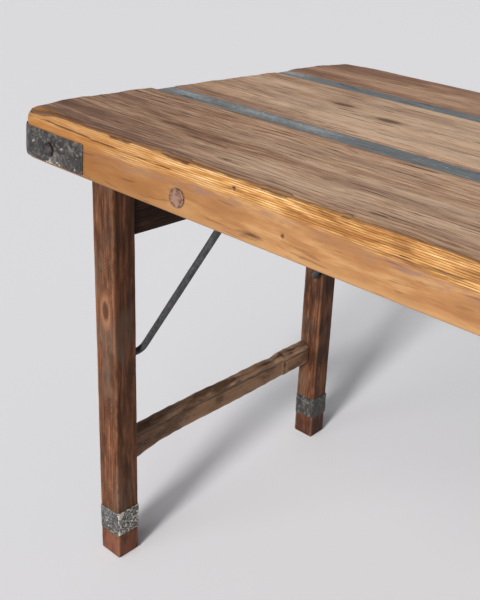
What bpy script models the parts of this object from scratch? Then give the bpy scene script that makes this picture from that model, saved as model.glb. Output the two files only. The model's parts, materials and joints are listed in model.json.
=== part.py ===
"""Folding trestle table: plank top with side rails, two folding leg frames and four hooked iron stays.

Metres, +Z up. X runs along the table, the front long side is at -Y, the floor is Z = 0.
Each leg frame turns about a rod through the side rails, and each stay turns about its bent
lower end in a leg. A hook at the stay's upper end catches a bar across the underside.
"""

import math

import bmesh
import bpy
from mathutils import Matrix

# Top
TOP_LENGTH = 2.0
TOP_WIDTH = 0.76
TOP_HEIGHT = 0.76
RIM_HEIGHT = 0.07
RAIL_THICK = 0.04
RAIL_LIP = 0.010
RAIL_ROUND = 0.009
CORNER_ROUND = 0.03
PLANK_THICK = 0.025
PLANK_ROUND = 0.002
FRONT_PLANK_WIDTH = 0.228
MIDDLE_PLANK_WIDTH = 0.248
STRIP_WIDTH = 0.046
STRIP_SINK = 0.0015
END_RAIL_THICK = 0.028
BATTEN_WIDTH = 0.07
BATTEN_THICK = 0.03
BATTEN_SPACING = 0.38

# Leg frames
LEG_SIZE = 0.045
LEG_INSET = 0.086
LEG_LEAN = math.radians(3.72)
LEG_ROUND = 0.002
PIVOT_FROM_END = 0.069
CROSS_RAIL_HEIGHT = 0.098
CROSS_RAIL_THICK = 0.026
CROSS_RAIL_DROP = 0.048
CROSS_RAIL_SETBACK = 0.003
STRETCHER_HEIGHT = 0.052
STRETCHER_THICK = 0.024
STRETCHER_DROP = 0.493
STRETCHER_SETBACK = 0.019
STRETCHER_ROUND = 0.003
BAND_HEIGHT = 0.047
BAND_THICK = 0.0016
BAND_ABOVE_FLOOR = 0.043

# Stays and the bar they hook on
BAR_FROM_PIVOT = 0.238
STAY_RADIUS = 0.00575
STAY_HOLE_DROP = 0.344
STAY_HOLE_FROM_FACE = 0.011
STAY_FROM_LEG = 0.0205
STAY_IN_LEG = 0.026
STAY_BEND = 0.012
STAY_AIM = 0.0067
HOOK_GAP = 0.0025
HOOK_SLIM = 0.87
HOOK_SWEEP = math.radians(126)
HOOK_JOG = 0.092

# Ironwork
ROD_RADIUS = 0.006
PIVOT_HEAD_RADIUS = 0.0096
BAR_HEAD_RADIUS = 0.0122
HEAD_HEIGHT = 0.004
STRAP_HEIGHT = 0.043
STRAP_THICK = 0.003
STRAP_ALONG = 0.136
STRAP_ACROSS = 0.12
STRAP_ABOVE_RIM_FOOT = 0.003
SPACER_WALL = 0.004
STRAP_BOLT_RADIUS = 0.003
STRAP_BOLT_HEAD = 0.008
STRAP_BOLT_LENGTH = 0.02
STRAP_BOLT_FROM_TIP = 0.025
DOME = ((0, 1), (0.72, 0.8), (1, 0.3), (1, 0))

# Clearances
TOUCH = 0.0003
BORE_GAP = 0.0006
PIVOT_GAP = 0.0005
WELD = 0.00001

# Facets
ROUND_SIDES = 24
CORNER_STEPS = 8
CROWN_STEPS = 12
BEND_STEPS = 5
JOG_STEPS = 10
HOOK_STEPS = 11

# Heights and places worked out from the sizes above
PLANK_FOOT = TOP_HEIGHT - PLANK_THICK
RIM_FOOT = TOP_HEIGHT - RIM_HEIGHT
HOOK_RADIUS = STAY_RADIUS * HOOK_SLIM
HOOK_ROUND = ROD_RADIUS + HOOK_GAP + HOOK_RADIUS
HOOK_ROOM = HOOK_ROUND + HOOK_RADIUS + PIVOT_GAP
PIVOT_HEIGHT = min((PLANK_FOOT + RIM_FOOT) / 2, PLANK_FOOT - HOOK_ROOM)
RAIL_INNER = TOP_WIDTH / 2 - RAIL_THICK
LIP_INNER = TOP_WIDTH / 2 - RAIL_LIP
LEG_OUTER = TOP_WIDTH / 2 - LEG_INSET
LEG_INNER = LEG_OUTER - LEG_SIZE
PIVOT_X = TOP_LENGTH / 2 - PIVOT_FROM_END
BAR_X = PIVOT_X - BAR_FROM_PIVOT
STRAP_MIDDLE = RIM_FOOT + STRAP_ABOVE_RIM_FOOT + STRAP_HEIGHT / 2

ENDS = {"left": -1, "right": 1}
SIDES = {"front": -1, "back": 1}


def clear_scene():
    """Removes whatever the scene holds."""
    for old in list(bpy.data.objects):
        bpy.data.objects.remove(old, do_unlink=True)


def make_material(name, color, roughness, metallic):
    """A Principled material with one colour, roughness and metallic value."""
    material = bpy.data.materials.new(name)
    material.use_nodes = True
    shader = material.node_tree.nodes["Principled BSDF"]
    shader.inputs["Base Color"].default_value = (*color, 1)
    shader.inputs["Roughness"].default_value = roughness
    shader.inputs["Metallic"].default_value = metallic
    material.diffuse_color = (*color, 1)
    return material


clear_scene()
TABLE = bpy.data.collections.new("folding_table")
CUTTERS = bpy.data.collections.new("cutters")
for group in (TABLE, CUTTERS):
    bpy.context.scene.collection.children.link(group)

GOLDEN_PINE = make_material("golden_pine", (0.52, 0.27, 0.09), 0.45, 0.0)
GREY_PLANK = make_material("weathered_plank", (0.27, 0.19, 0.13), 0.65, 0.0)
BLUE_PAINT = make_material("blue_grey_paint", (0.13, 0.16, 0.18), 0.6, 0.0)
DARK_WOOD = make_material("dark_stained_wood", (0.12, 0.045, 0.02), 0.5, 0.0)
BAND_IRON = make_material("galvanised_band", (0.22, 0.23, 0.2), 0.55, 0.6)
STRAP_IRON = make_material("strap_iron", (0.1, 0.105, 0.11), 0.5, 0.7)
ROD_IRON = make_material("rod_iron", (0.06, 0.06, 0.065), 0.45, 0.8)
BOLT_IRON = make_material("rusty_bolt", (0.16, 0.09, 0.08), 0.6, 0.5)


def add_object(name, data, location=(0, 0, 0), material=None, parent=None):
    """Puts mesh or curve data into the table's collection as one named object."""
    thing = bpy.data.objects.new(name, data)
    TABLE.objects.link(thing)
    thing.location = location
    thing.parent = parent
    if material:
        data.materials.append(material)
    return thing


def as_cutter(thing, parent=None):
    """Moves an object to the cutters' collection and hides it from renders."""
    for holder in list(thing.users_collection):
        holder.objects.unlink(thing)
    CUTTERS.objects.link(thing)
    thing.parent = parent
    thing.hide_render = True
    thing.display_type = "WIRE"
    return thing


def cube_mesh(name, size):
    """A box mesh of the given size about its origin."""
    mesh = bpy.data.meshes.new(name)
    shape = bmesh.new()
    bmesh.ops.create_cube(shape, size=1.0)
    bmesh.ops.scale(shape, vec=size, verts=shape.verts)
    shape.to_mesh(mesh)
    shape.free()
    return mesh


def cylinder_mesh(name, radius, length):
    """A closed cylinder along Y about its origin."""
    mesh = bpy.data.meshes.new(name)
    shape = bmesh.new()
    bmesh.ops.create_cone(
        shape, cap_ends=True, segments=ROUND_SIDES, radius1=radius, radius2=radius, depth=length
    )
    bmesh.ops.rotate(shape, matrix=Matrix.Rotation(math.pi / 2, 3, "X"), verts=shape.verts)
    shape.to_mesh(mesh)
    shape.free()
    return mesh


def add_bevel(thing, width, segments=2):
    """Rounds the sharp edges of an object."""
    bevel = thing.modifiers.new("rounded_edges", "BEVEL")
    bevel.width = width
    bevel.segments = segments
    bevel.limit_method = "ANGLE"
    bevel.angle_limit = math.radians(40)
    return bevel


def cut_away(thing, cutter):
    """Takes the cutter's volume out of an object."""
    cut = thing.modifiers.new("cut_" + cutter.name, "BOOLEAN")
    cut.operation = "DIFFERENCE"
    cut.object = cutter
    return cut


def board(name, low, high, material, parent=None, rounding=PLANK_ROUND):
    """A board between two corners, with its origin at its middle and rounded edges."""
    size = [b - a for a, b in zip(low, high)]
    middle = [(a + b) / 2 for a, b in zip(low, high)]
    thing = add_object(name, cube_mesh(name, size), middle, material, parent)
    add_bevel(thing, rounding)
    return thing


def box_cutter(name, low, high, parent=None):
    """A box-shaped cutter between two corners."""
    size = [b - a for a, b in zip(low, high)]
    middle = [(a + b) / 2 for a, b in zip(low, high)]
    return as_cutter(add_object(name, cube_mesh(name, size), middle), parent)


def bore_cutter(name, centre, radius, length, parent=None):
    """A round cutter along Y."""
    return as_cutter(add_object(name, cylinder_mesh(name, radius, length), centre), parent)


def turned(name, profile, location, material):
    """A round piece about its own Z axis, turned from (radius, height) pairs from its top down."""
    mesh = bpy.data.meshes.new(name)
    shape = bmesh.new()
    points = [shape.verts.new((radius, 0, height)) for radius, height in profile]
    for first, second in zip(points, points[1:]):
        shape.edges.new((first, second))
    shape.to_mesh(mesh)
    shape.free()
    thing = add_object(name, mesh, location, material)
    screw = thing.modifiers.new("turned", "SCREW")
    screw.axis = "Z"
    screw.steps = screw.render_steps = ROUND_SIDES
    screw.use_merge_vertices = True
    screw.merge_threshold = WELD
    screw.use_smooth_shade = False
    return thing


def mesh_from(thing, name):
    """Turns a curve object into a mesh object with welded caps, in the same place."""
    graph = bpy.context.evaluated_depsgraph_get()
    mesh = bpy.data.meshes.new_from_object(thing.evaluated_get(graph))
    mesh.name = name
    shape = bmesh.new()
    shape.from_mesh(mesh)
    bmesh.ops.remove_doubles(shape, verts=shape.verts, dist=WELD)
    bmesh.ops.recalc_face_normals(shape, faces=shape.faces)
    shape.to_mesh(mesh)
    shape.free()
    solid = bpy.data.objects.new(name, mesh)
    solid.matrix_world = thing.matrix_world.copy()
    TABLE.objects.link(solid)
    bpy.data.objects.remove(thing, do_unlink=True)
    return solid


def outline_plate(name, outline, thickness):
    """A flat plate in XY from a closed outline, with its middle plane at Z = 0."""
    curve = bpy.data.curves.new(name, "CURVE")
    curve.dimensions = "2D"
    curve.fill_mode = "BOTH"
    curve.extrude = thickness / 2
    spline = curve.splines.new("POLY")
    spline.points.add(len(outline) - 1)
    for point, (across, along) in zip(spline.points, outline):
        point.co = (across, along, 0, 1)
    spline.use_cyclic_u = True
    thing = add_object(name + "_outline", curve)
    bpy.context.view_layer.update()
    return mesh_from(thing, name)


def arc(centre, radius, start, end, steps):
    """Points on an arc, both ends included."""
    turn = (end - start) / steps
    angles = [start + turn * i for i in range(steps + 1)]
    return [(centre[0] + radius * math.cos(a), centre[1] + radius * math.sin(a)) for a in angles]


def round_corner(thing, end_name, end, side_name, side):
    """Rounds one upright corner of the top where it passes through a board or a rail."""
    centre = (TOP_LENGTH / 2 - CORNER_ROUND, TOP_WIDTH / 2 - CORNER_ROUND)
    reach = CORNER_ROUND * 2
    outline = arc(centre, CORNER_ROUND, math.pi / 2, 0, CORNER_STEPS)
    outline += [
        (centre[0] + reach, centre[1]),
        (centre[0] + reach, centre[1] + reach),
        (centre[0], centre[1] + reach),
    ]
    placed = [(x * end, y * side) for x, y in outline]
    cutter = outline_plate(f"{thing.name}_corner_{end_name}", placed, RIM_HEIGHT * 2)
    cutter.location.z = TOP_HEIGHT - RIM_HEIGHT / 2
    cut_away(thing, as_cutter(cutter))


def side_rail(side_name, side):
    """A long rail with a rounded outer top edge and a rebate for the planks' edge."""
    name = "side_rail_" + side_name
    mesh = cube_mesh(name, (TOP_LENGTH, RAIL_THICK, RIM_HEIGHT))
    shape = bmesh.new()
    shape.from_mesh(mesh)
    face_y = side * RAIL_THICK / 2
    worn = []
    for edge in shape.edges:
        corners = [v.co for v in edge.verts]
        on_outside = all(abs(corner.y - face_y) < TOUCH for corner in corners)
        at_top = all(corner.z > 0 for corner in corners)
        if on_outside and at_top:
            worn.append(edge)
    bmesh.ops.bevel(shape, geom=worn, offset=RAIL_ROUND, segments=3, profile=0.5, affect="EDGES")
    shape.to_mesh(mesh)
    shape.free()
    middle_y = side * (TOP_WIDTH - RAIL_THICK) / 2
    rail = add_object(name, mesh, (0, middle_y, TOP_HEIGHT - RIM_HEIGHT / 2), GOLDEN_PINE)
    reach = TOP_LENGTH / 2 + RAIL_THICK
    low_y, high_y = sorted((side * (RAIL_INNER - RAIL_LIP), side * LIP_INNER))
    rebate = box_cutter(
        "rebate_" + side_name,
        (-reach, low_y, PLANK_FOOT - TOUCH),
        (reach, high_y, TOP_HEIGHT + RAIL_THICK),
    )
    cut_away(rail, rebate)
    for end_name, end in ENDS.items():
        round_corner(rail, end_name, end, side_name, side)
        for part, place in (("pivot", PIVOT_X), ("bar", BAR_X)):
            bore = bore_cutter(
                f"{part}_bore_{end_name}_{side_name}",
                (end * place, middle_y, PIVOT_HEIGHT),
                ROD_RADIUS + BORE_GAP,
                RAIL_THICK * 2,
            )
            cut_away(rail, bore)
    return rail


def plank_top():
    """Three wide planks and two painted strips, side by side between the rails' lips."""
    half = TOP_LENGTH / 2
    front_edge = -LIP_INNER
    first = front_edge + FRONT_PLANK_WIDTH
    second = first + STRIP_WIDTH
    third = second + MIDDLE_PLANK_WIDTH
    fourth = third + STRIP_WIDTH
    rows = (
        ("plank_front", front_edge, first, 0, GREY_PLANK),
        ("painted_strip_front", first, second, STRIP_SINK, BLUE_PAINT),
        ("plank_middle", second, third, 0, GREY_PLANK),
        ("painted_strip_back", third, fourth, STRIP_SINK, BLUE_PAINT),
        ("plank_back", fourth, LIP_INNER, 0, GREY_PLANK),
    )
    planks = {}
    for name, low_y, high_y, sink, material in rows:
        planks[name] = board(
            name,
            (-half, low_y + TOUCH, PLANK_FOOT),
            (half, high_y - TOUCH, TOP_HEIGHT - sink),
            material,
        )
    for side_name, side in SIDES.items():
        for end_name, end in ENDS.items():
            round_corner(planks["plank_" + side_name], end_name, end, side_name, side)


def underside():
    """End rails and cross battens that carry the planks between the side rails."""
    half = TOP_LENGTH / 2
    reach = RAIL_INNER - TOUCH
    shelf = PLANK_FOOT - TOUCH
    rails = {}
    for end_name, end in ENDS.items():
        low_x, high_x = sorted((end * half, end * (half - END_RAIL_THICK)))
        rail = board(
            "end_rail_" + end_name, (low_x, -reach, RIM_FOOT), (high_x, reach, shelf), GOLDEN_PINE
        )
        rails[end_name] = rail
    for name, place in (("left", -BATTEN_SPACING), ("middle", 0), ("right", BATTEN_SPACING)):
        board(
            "batten_" + name,
            (place - BATTEN_WIDTH / 2, -reach, shelf - BATTEN_THICK),
            (place + BATTEN_WIDTH / 2, reach, shelf),
            DARK_WOOD,
        )
    return rails


def domed_head(radius):
    """The profile of a domed head of the given radius, from its crown to its seat."""
    return [(radius * across, HEAD_HEIGHT * up) for across, up in DOME]


def corner_strap(end_name, end, side_name, side, end_rail):
    """A flat iron strap bent round one corner of the rim, with its bolt in the end rail."""
    inner_round = CORNER_ROUND + TOUCH
    outer_round = inner_round + STRAP_THICK
    corner_x = TOP_LENGTH / 2 - CORNER_ROUND
    corner_y = TOP_WIDTH / 2 - CORNER_ROUND
    tip_x = TOP_LENGTH / 2 - STRAP_ALONG
    tip_y = TOP_WIDTH / 2 - STRAP_ACROSS
    quarter = math.pi / 2
    outline = [(tip_x, corner_y + outer_round)]
    outline += arc((corner_x, corner_y), outer_round, quarter, 0, CORNER_STEPS)
    outline += [(corner_x + outer_round, tip_y), (corner_x + inner_round, tip_y)]
    outline += arc((corner_x, corner_y), inner_round, 0, quarter, CORNER_STEPS)
    outline += [(tip_x, corner_y + inner_round)]
    placed = [(x * end, y * side) for x, y in outline]
    name = f"corner_strap_{end_name}_{side_name}"
    strap = outline_plate(name, placed, STRAP_HEIGHT)
    strap.location.z = STRAP_MIDDLE
    strap.data.materials.append(STRAP_IRON)
    bore = bore_cutter(
        "strap_bore_" + name,
        (end * PIVOT_X, side * TOP_WIDTH / 2, PIVOT_HEIGHT),
        ROD_RADIUS + BORE_GAP,
        RAIL_THICK,
    )
    cut_away(strap, bore)

    bolt_y = side * (tip_y + STRAP_BOLT_FROM_TIP)
    seat_x = corner_x + outer_round + TOUCH
    bolt_name = f"strap_bolt_{end_name}_{side_name}"
    shank = [
        (STRAP_BOLT_RADIUS, 0),
        (STRAP_BOLT_RADIUS, -STRAP_BOLT_LENGTH),
        (0, -STRAP_BOLT_LENGTH),
    ]
    seat = (end * seat_x, bolt_y, STRAP_MIDDLE)
    bolt = turned(bolt_name, domed_head(STRAP_BOLT_HEAD) + shank, seat, BOLT_IRON)
    bolt.rotation_euler.y = end * math.pi / 2
    hole_length = 2 * (STRAP_BOLT_LENGTH + STRAP_THICK)
    hole = bore_cutter("hole_" + bolt_name, seat, STRAP_BOLT_RADIUS + BORE_GAP, hole_length)
    hole.rotation_euler.z = math.pi / 2
    cut_away(strap, hole)
    cut_away(end_rail, hole)


def cross_rod(name, place, head_radius, seat):
    """A rod through both side rails with a domed head at the front and a domed nut at the back.

    seat is the distance from the table's middle plane to the face that the head rests on.
    """
    face = seat + TOUCH
    head = domed_head(head_radius)
    shank = [(ROD_RADIUS, 0), (ROD_RADIUS, -2 * face), (0, -2 * face)]
    rod = turned(name, head + shank, (place, -face, PIVOT_HEIGHT), BOLT_IRON)
    rod.rotation_euler.x = math.pi / 2
    nut = turned(name + "_nut", head + [(0, 0)], (place, face + TOUCH, PIVOT_HEIGHT), BOLT_IRON)
    nut.rotation_euler.x = -math.pi / 2


def spacer(end_name, end, side_name, side):
    """A short tube on the pivot rod that keeps the leg away from the side rail."""
    name = f"pivot_spacer_{end_name}_{side_name}"
    length = RAIL_INNER - LEG_OUTER - 2 * TOUCH
    inner = ROD_RADIUS + BORE_GAP
    outer = inner + SPACER_WALL
    profile = [(inner, 0), (outer, 0), (outer, -length), (inner, -length), (inner, 0)]
    tube = turned(name, profile, (end * PIVOT_X, side * (LEG_OUTER + TOUCH), PIVOT_HEIGHT), ROD_IRON)
    tube.rotation_euler.x = side * math.pi / 2


def leg_outline(lean):
    """The leg's side view about the pivot: a foot that is level on the floor and a round crown."""
    half = LEG_SIZE / 2
    crown = min(half, PLANK_FOOT - PIVOT_HEIGHT - PIVOT_GAP)
    feet = [(x, (x * math.sin(lean) - PIVOT_HEIGHT) / math.cos(lean)) for x in (-half, half)]
    shoulder = math.sqrt(half * half - crown * crown)
    return feet + [(half, -shoulder)] + arc((0, 0), crown, 0, math.pi, CROWN_STEPS) + [(-half, -shoulder)]


def folding_frame(end_name, end):
    """Two legs, a cross rail, a stretcher and the foot bands, on an empty at the pivot."""
    lean = end * LEG_LEAN
    inner = -end
    axis = bpy.data.objects.new("fold_axis_" + end_name, None)
    TABLE.objects.link(axis)
    axis.location = (end * PIVOT_X, 0, PIVOT_HEIGHT)
    axis.rotation_euler.y = lean
    half = LEG_SIZE / 2
    hole_x = inner * (half - STAY_HOLE_FROM_FACE)

    for side_name, side in SIDES.items():
        name = f"leg_{end_name}_{side_name}"
        leg = outline_plate(name, leg_outline(lean), LEG_SIZE)
        middle_y = side * (LEG_OUTER + LEG_INNER) / 2
        leg.data.transform(Matrix.Rotation(math.pi / 2, 4, "X"))
        leg.parent = axis
        leg.location = (0, middle_y, 0)
        leg.data.materials.append(DARK_WOOD)
        add_bevel(leg, LEG_ROUND, 1)
        pivot_bore = bore_cutter(
            "pivot_" + name, (0, middle_y, 0), ROD_RADIUS + BORE_GAP, LEG_SIZE * 2, axis
        )
        cut_away(leg, pivot_bore)
        stay_bore = bore_cutter(
            "stay_" + name,
            (hole_x, side * LEG_INNER, -STAY_HOLE_DROP),
            STAY_RADIUS + BORE_GAP,
            2 * (STAY_IN_LEG + BORE_GAP),
            axis,
        )
        cut_away(leg, stay_bore)

        band_size = LEG_SIZE + 2 * (TOUCH + BAND_THICK)
        band_top = BAND_ABOVE_FLOOR + BAND_HEIGHT - PIVOT_HEIGHT
        band_middle = (0, middle_y, band_top - BAND_HEIGHT / 2)
        band_name = f"foot_band_{end_name}_{side_name}"
        block = cube_mesh(band_name, (band_size, band_size, BAND_HEIGHT))
        band = add_object(band_name, block, band_middle, BAND_IRON, axis)
        add_bevel(band, LEG_ROUND, 1)
        opening = LEG_SIZE + 2 * TOUCH
        core = cube_mesh("core_" + band_name, (opening, opening, BAND_HEIGHT * 2))
        cut_away(band, as_cutter(add_object(core.name, core, band_middle), axis))

    reach = LEG_INNER - TOUCH
    face = inner * half
    rail_face = face - inner * CROSS_RAIL_SETBACK
    low_x, high_x = sorted((rail_face, rail_face - inner * CROSS_RAIL_THICK))
    board(
        "cross_rail_" + end_name,
        (low_x, -reach, -CROSS_RAIL_DROP - CROSS_RAIL_HEIGHT),
        (high_x, reach, -CROSS_RAIL_DROP),
        DARK_WOOD,
        axis,
    )
    bar_face = face - inner * STRETCHER_SETBACK
    low_x, high_x = sorted((bar_face, bar_face - inner * STRETCHER_THICK))
    board(
        "stretcher_" + end_name,
        (low_x, -reach, -STRETCHER_DROP - STRETCHER_HEIGHT),
        (high_x, reach, -STRETCHER_DROP),
        DARK_WOOD,
        axis,
        STRETCHER_ROUND,
    )
    for side_name, side in SIDES.items():
        stay(end_name, end, side_name, side, axis, hole_x)


def smooth_step(share):
    """An S-shaped ramp from 0 to 1 for a share between them."""
    return share * share * (3 - 2 * share)


def stay_route(end, side, hole_x, lean):
    """Points and radius factors along one stay, about its hole in the leg's side.

    The route runs in the leg frame's own axes: out of the leg, round a bend, up a straight run
    that aims just outside the bar, then through a jog and a hook round the bar's far side.
    """
    inner = -end
    bar_x = inner * BAR_FROM_PIVOT
    bar_across = bar_x * math.cos(lean) - hole_x
    bar_up = bar_x * math.sin(lean) + STAY_HOLE_DROP
    reach = math.hypot(bar_across, bar_up)
    heading = math.atan2(bar_up, inner * bar_across) + math.asin(STAY_AIM / reach)
    ahead = (inner * math.cos(heading), math.sin(heading))
    aside = (inner * math.sin(heading), -math.cos(heading))
    bar_along = reach * math.cos(math.asin(STAY_AIM / reach))
    swing = STAY_AIM + HOOK_ROUND

    def place(along, beside, out):
        """A point from its distances along and beside the straight run, and across the table."""
        return (ahead[0] * along + aside[0] * beside, out, ahead[1] * along + aside[1] * beside)

    plane = -side * STAY_FROM_LEG
    route = [((0, side * STAY_IN_LEG, 0), 1), ((0, plane + side * STAY_BEND, 0), 1)]
    for i in range(1, BEND_STEPS + 1):
        turn = math.pi / 2 * i / BEND_STEPS
        along = STAY_BEND * (1 - math.cos(turn))
        out = plane + side * STAY_BEND * (1 - math.sin(turn))
        route.append((place(along, 0, out), 1))
    start = bar_along - HOOK_JOG
    for i in range(JOG_STEPS):
        share = i / JOG_STEPS
        beside = swing * smooth_step(share)
        slim = 1 + (HOOK_SLIM - 1) * share
        route.append((place(start + HOOK_JOG * share, beside, plane), slim))
    for i in range(HOOK_STEPS + 1):
        turn = HOOK_SWEEP * i / HOOK_STEPS
        along = bar_along + HOOK_ROUND * math.sin(turn)
        beside = STAY_AIM + HOOK_ROUND * math.cos(turn)
        route.append((place(along, beside, plane), HOOK_SLIM))
    return route


def stay(end_name, end, side_name, side, axis, hole_x):
    """One iron stay, its origin on the axis of its hole in the leg."""
    name = f"stay_{end_name}_{side_name}"
    curve = bpy.data.curves.new(name, "CURVE")
    curve.dimensions = "3D"
    curve.bevel_depth = STAY_RADIUS
    curve.bevel_resolution = 4
    curve.use_fill_caps = True
    route = stay_route(end, side, hole_x, end * LEG_LEAN)
    spline = curve.splines.new("POLY")
    spline.points.add(len(route) - 1)
    for point, (position, radius) in zip(spline.points, route):
        point.co = (*position, 1)
        point.radius = radius
    add_object(name, curve, (hole_x, side * LEG_INNER, -STAY_HOLE_DROP), ROD_IRON, axis)


for one_side, direction in SIDES.items():
    side_rail(one_side, direction)
plank_top()
END_RAILS = underside()
STRAP_SEAT = TOP_WIDTH / 2 + TOUCH + STRAP_THICK
for one_end, heading_x in ENDS.items():
    for one_side, heading_y in SIDES.items():
        corner_strap(one_end, heading_x, one_side, heading_y, END_RAILS[one_end])
        spacer(one_end, heading_x, one_side, heading_y)
    cross_rod("pivot_rod_" + one_end, heading_x * PIVOT_X, PIVOT_HEAD_RADIUS, STRAP_SEAT)
    cross_rod("hook_bar_" + one_end, heading_x * BAR_X, BAR_HEAD_RADIUS, TOP_WIDTH / 2)
    folding_frame(one_end, heading_x)
bpy.context.view_layer.update()
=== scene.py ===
"""Looks of a folding trestle table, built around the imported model.

The worn plank top, golden side rails, stained leg frames and forged ironwork take every place from
the model's boxes, joints and mounts. Metres, +Z up; X runs along the table, the front is at -Y.
"""

import json
import logging
import math
from dataclasses import dataclass, field
from enum import Enum
from typing import Callable, Sequence

import bmesh
import bpy
from mathutils import Matrix, Vector, noise


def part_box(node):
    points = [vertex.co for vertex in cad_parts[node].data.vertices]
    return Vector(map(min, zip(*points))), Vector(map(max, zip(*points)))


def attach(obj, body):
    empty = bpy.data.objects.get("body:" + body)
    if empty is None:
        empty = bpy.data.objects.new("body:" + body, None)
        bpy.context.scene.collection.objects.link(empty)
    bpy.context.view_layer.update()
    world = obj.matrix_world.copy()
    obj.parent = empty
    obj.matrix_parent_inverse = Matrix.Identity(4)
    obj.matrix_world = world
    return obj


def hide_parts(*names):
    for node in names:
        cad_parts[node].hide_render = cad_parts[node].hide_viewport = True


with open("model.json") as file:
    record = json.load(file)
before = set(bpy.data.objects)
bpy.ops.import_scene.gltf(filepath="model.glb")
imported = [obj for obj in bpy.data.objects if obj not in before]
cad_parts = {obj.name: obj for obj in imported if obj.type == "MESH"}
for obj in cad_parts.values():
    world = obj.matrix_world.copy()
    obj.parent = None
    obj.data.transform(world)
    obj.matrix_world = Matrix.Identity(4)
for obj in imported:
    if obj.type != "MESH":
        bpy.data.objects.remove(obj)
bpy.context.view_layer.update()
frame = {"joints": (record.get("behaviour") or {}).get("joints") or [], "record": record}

LOG = logging.getLogger("folding_table")
RECORD = frame["record"]
BODY_OF = {node: body for body, nodes in RECORD["behaviour"]["bodies"].items() for node in nodes}
JOINTS = {joint["name"]: joint for joint in frame["joints"]}
MOUNTS = {mount["name"]: mount for mount in RECORD["mounts"]}
TURN = 2 * math.pi
ARC_STEPS = 4
EDGE_REACH = 0.004
Color = tuple[float, float, float]
Corners = tuple[float, float, float, float]
Route = list[tuple[Vector, Vector]]
Socket = bpy.types.NodeSocket
Look = tuple[Socket | Color, Socket | float, Socket | None]
Node = bpy.types.Node
Piece = bpy.types.Object
Sockets = dict[str, Socket]


class Way(Enum):
    """A way along an axis, with its sign."""

    @property
    def word(self) -> str:
        """Its name in node names."""
        return self.name.lower()


class End(Way):
    """An end of the table, with the sign of its X."""

    LEFT = -1
    RIGHT = 1


class Side(Way):
    """A long side of the table, with the sign of its Y."""

    FRONT = -1
    BACK = 1


class Value(Enum):
    """The surface values that meshes carry for their finishes."""

    PLACE = "grain_place"
    GROWTH = "growth"
    KNOT = "knot"
    WEAR = "wear"
    # Dirt, together with painted shade in the gaps between boards, on hidden faces, at the legs' crowns and
    # on the back legs.
    GRIME = "grime"
    GILT = "gilt"
    PALE = "pale"
    SHADE = "shade"


# ---- Small helpers for shapes ----


def ripple(*place: float, seed: float = 0.0) -> float:
    """Smooth noise from -1 to 1 at one to three scaled coordinates, shifted by a seed."""
    first, second, third = (*place, 0.0, 0.0)[:3]
    return noise.noise(Vector((first + seed * 7.31, second - seed * 3.17, third + seed * 1.73)))


def ease(value: float, low: float, high: float) -> float:
    """A smooth step from 0 at low to 1 at high."""
    share = min(max((value - low) / (high - low), 0.0), 1.0)
    return share * share * (3 - 2 * share)


def bell(value: float, middle: float, width: float) -> float:
    """A bell curve of height 1 about middle."""
    return math.exp(-(((value - middle) / width) ** 2))


def round_drop(depth: float, radius: float) -> float:
    """How far a quarter-round falls below its flat at a distance in from its edge."""
    reach = radius - min(max(depth, 0.0), radius)
    return radius - math.sqrt(radius * radius - reach * reach)


def spaced(low: float, high: float, step: float) -> list[float]:
    """Evenly spaced values from low to high, both included."""
    count = max(1, round((high - low) / step))
    return [low + (high - low) * i / count for i in range(count + 1)]


class Rippled:
    """A piece whose own seed sets it apart in every ripple."""

    seed: float

    def ripple(self, *place: float, shift: float = 0.0) -> float:
        """Ripples that only this piece has."""
        return ripple(*place, seed=self.seed + shift)


@dataclass
class Spot:
    """One point of a skin, with what its finish reads there."""

    point: Vector
    place: Vector
    growth: float = 0.0
    knot: float = 0.0
    wear: float = 0.0
    # Dirt and painted shade alike.
    grime: float = 0.0
    gilt: float = 0.0
    pale: float = 0.0
    shade: float = 0.0


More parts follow.
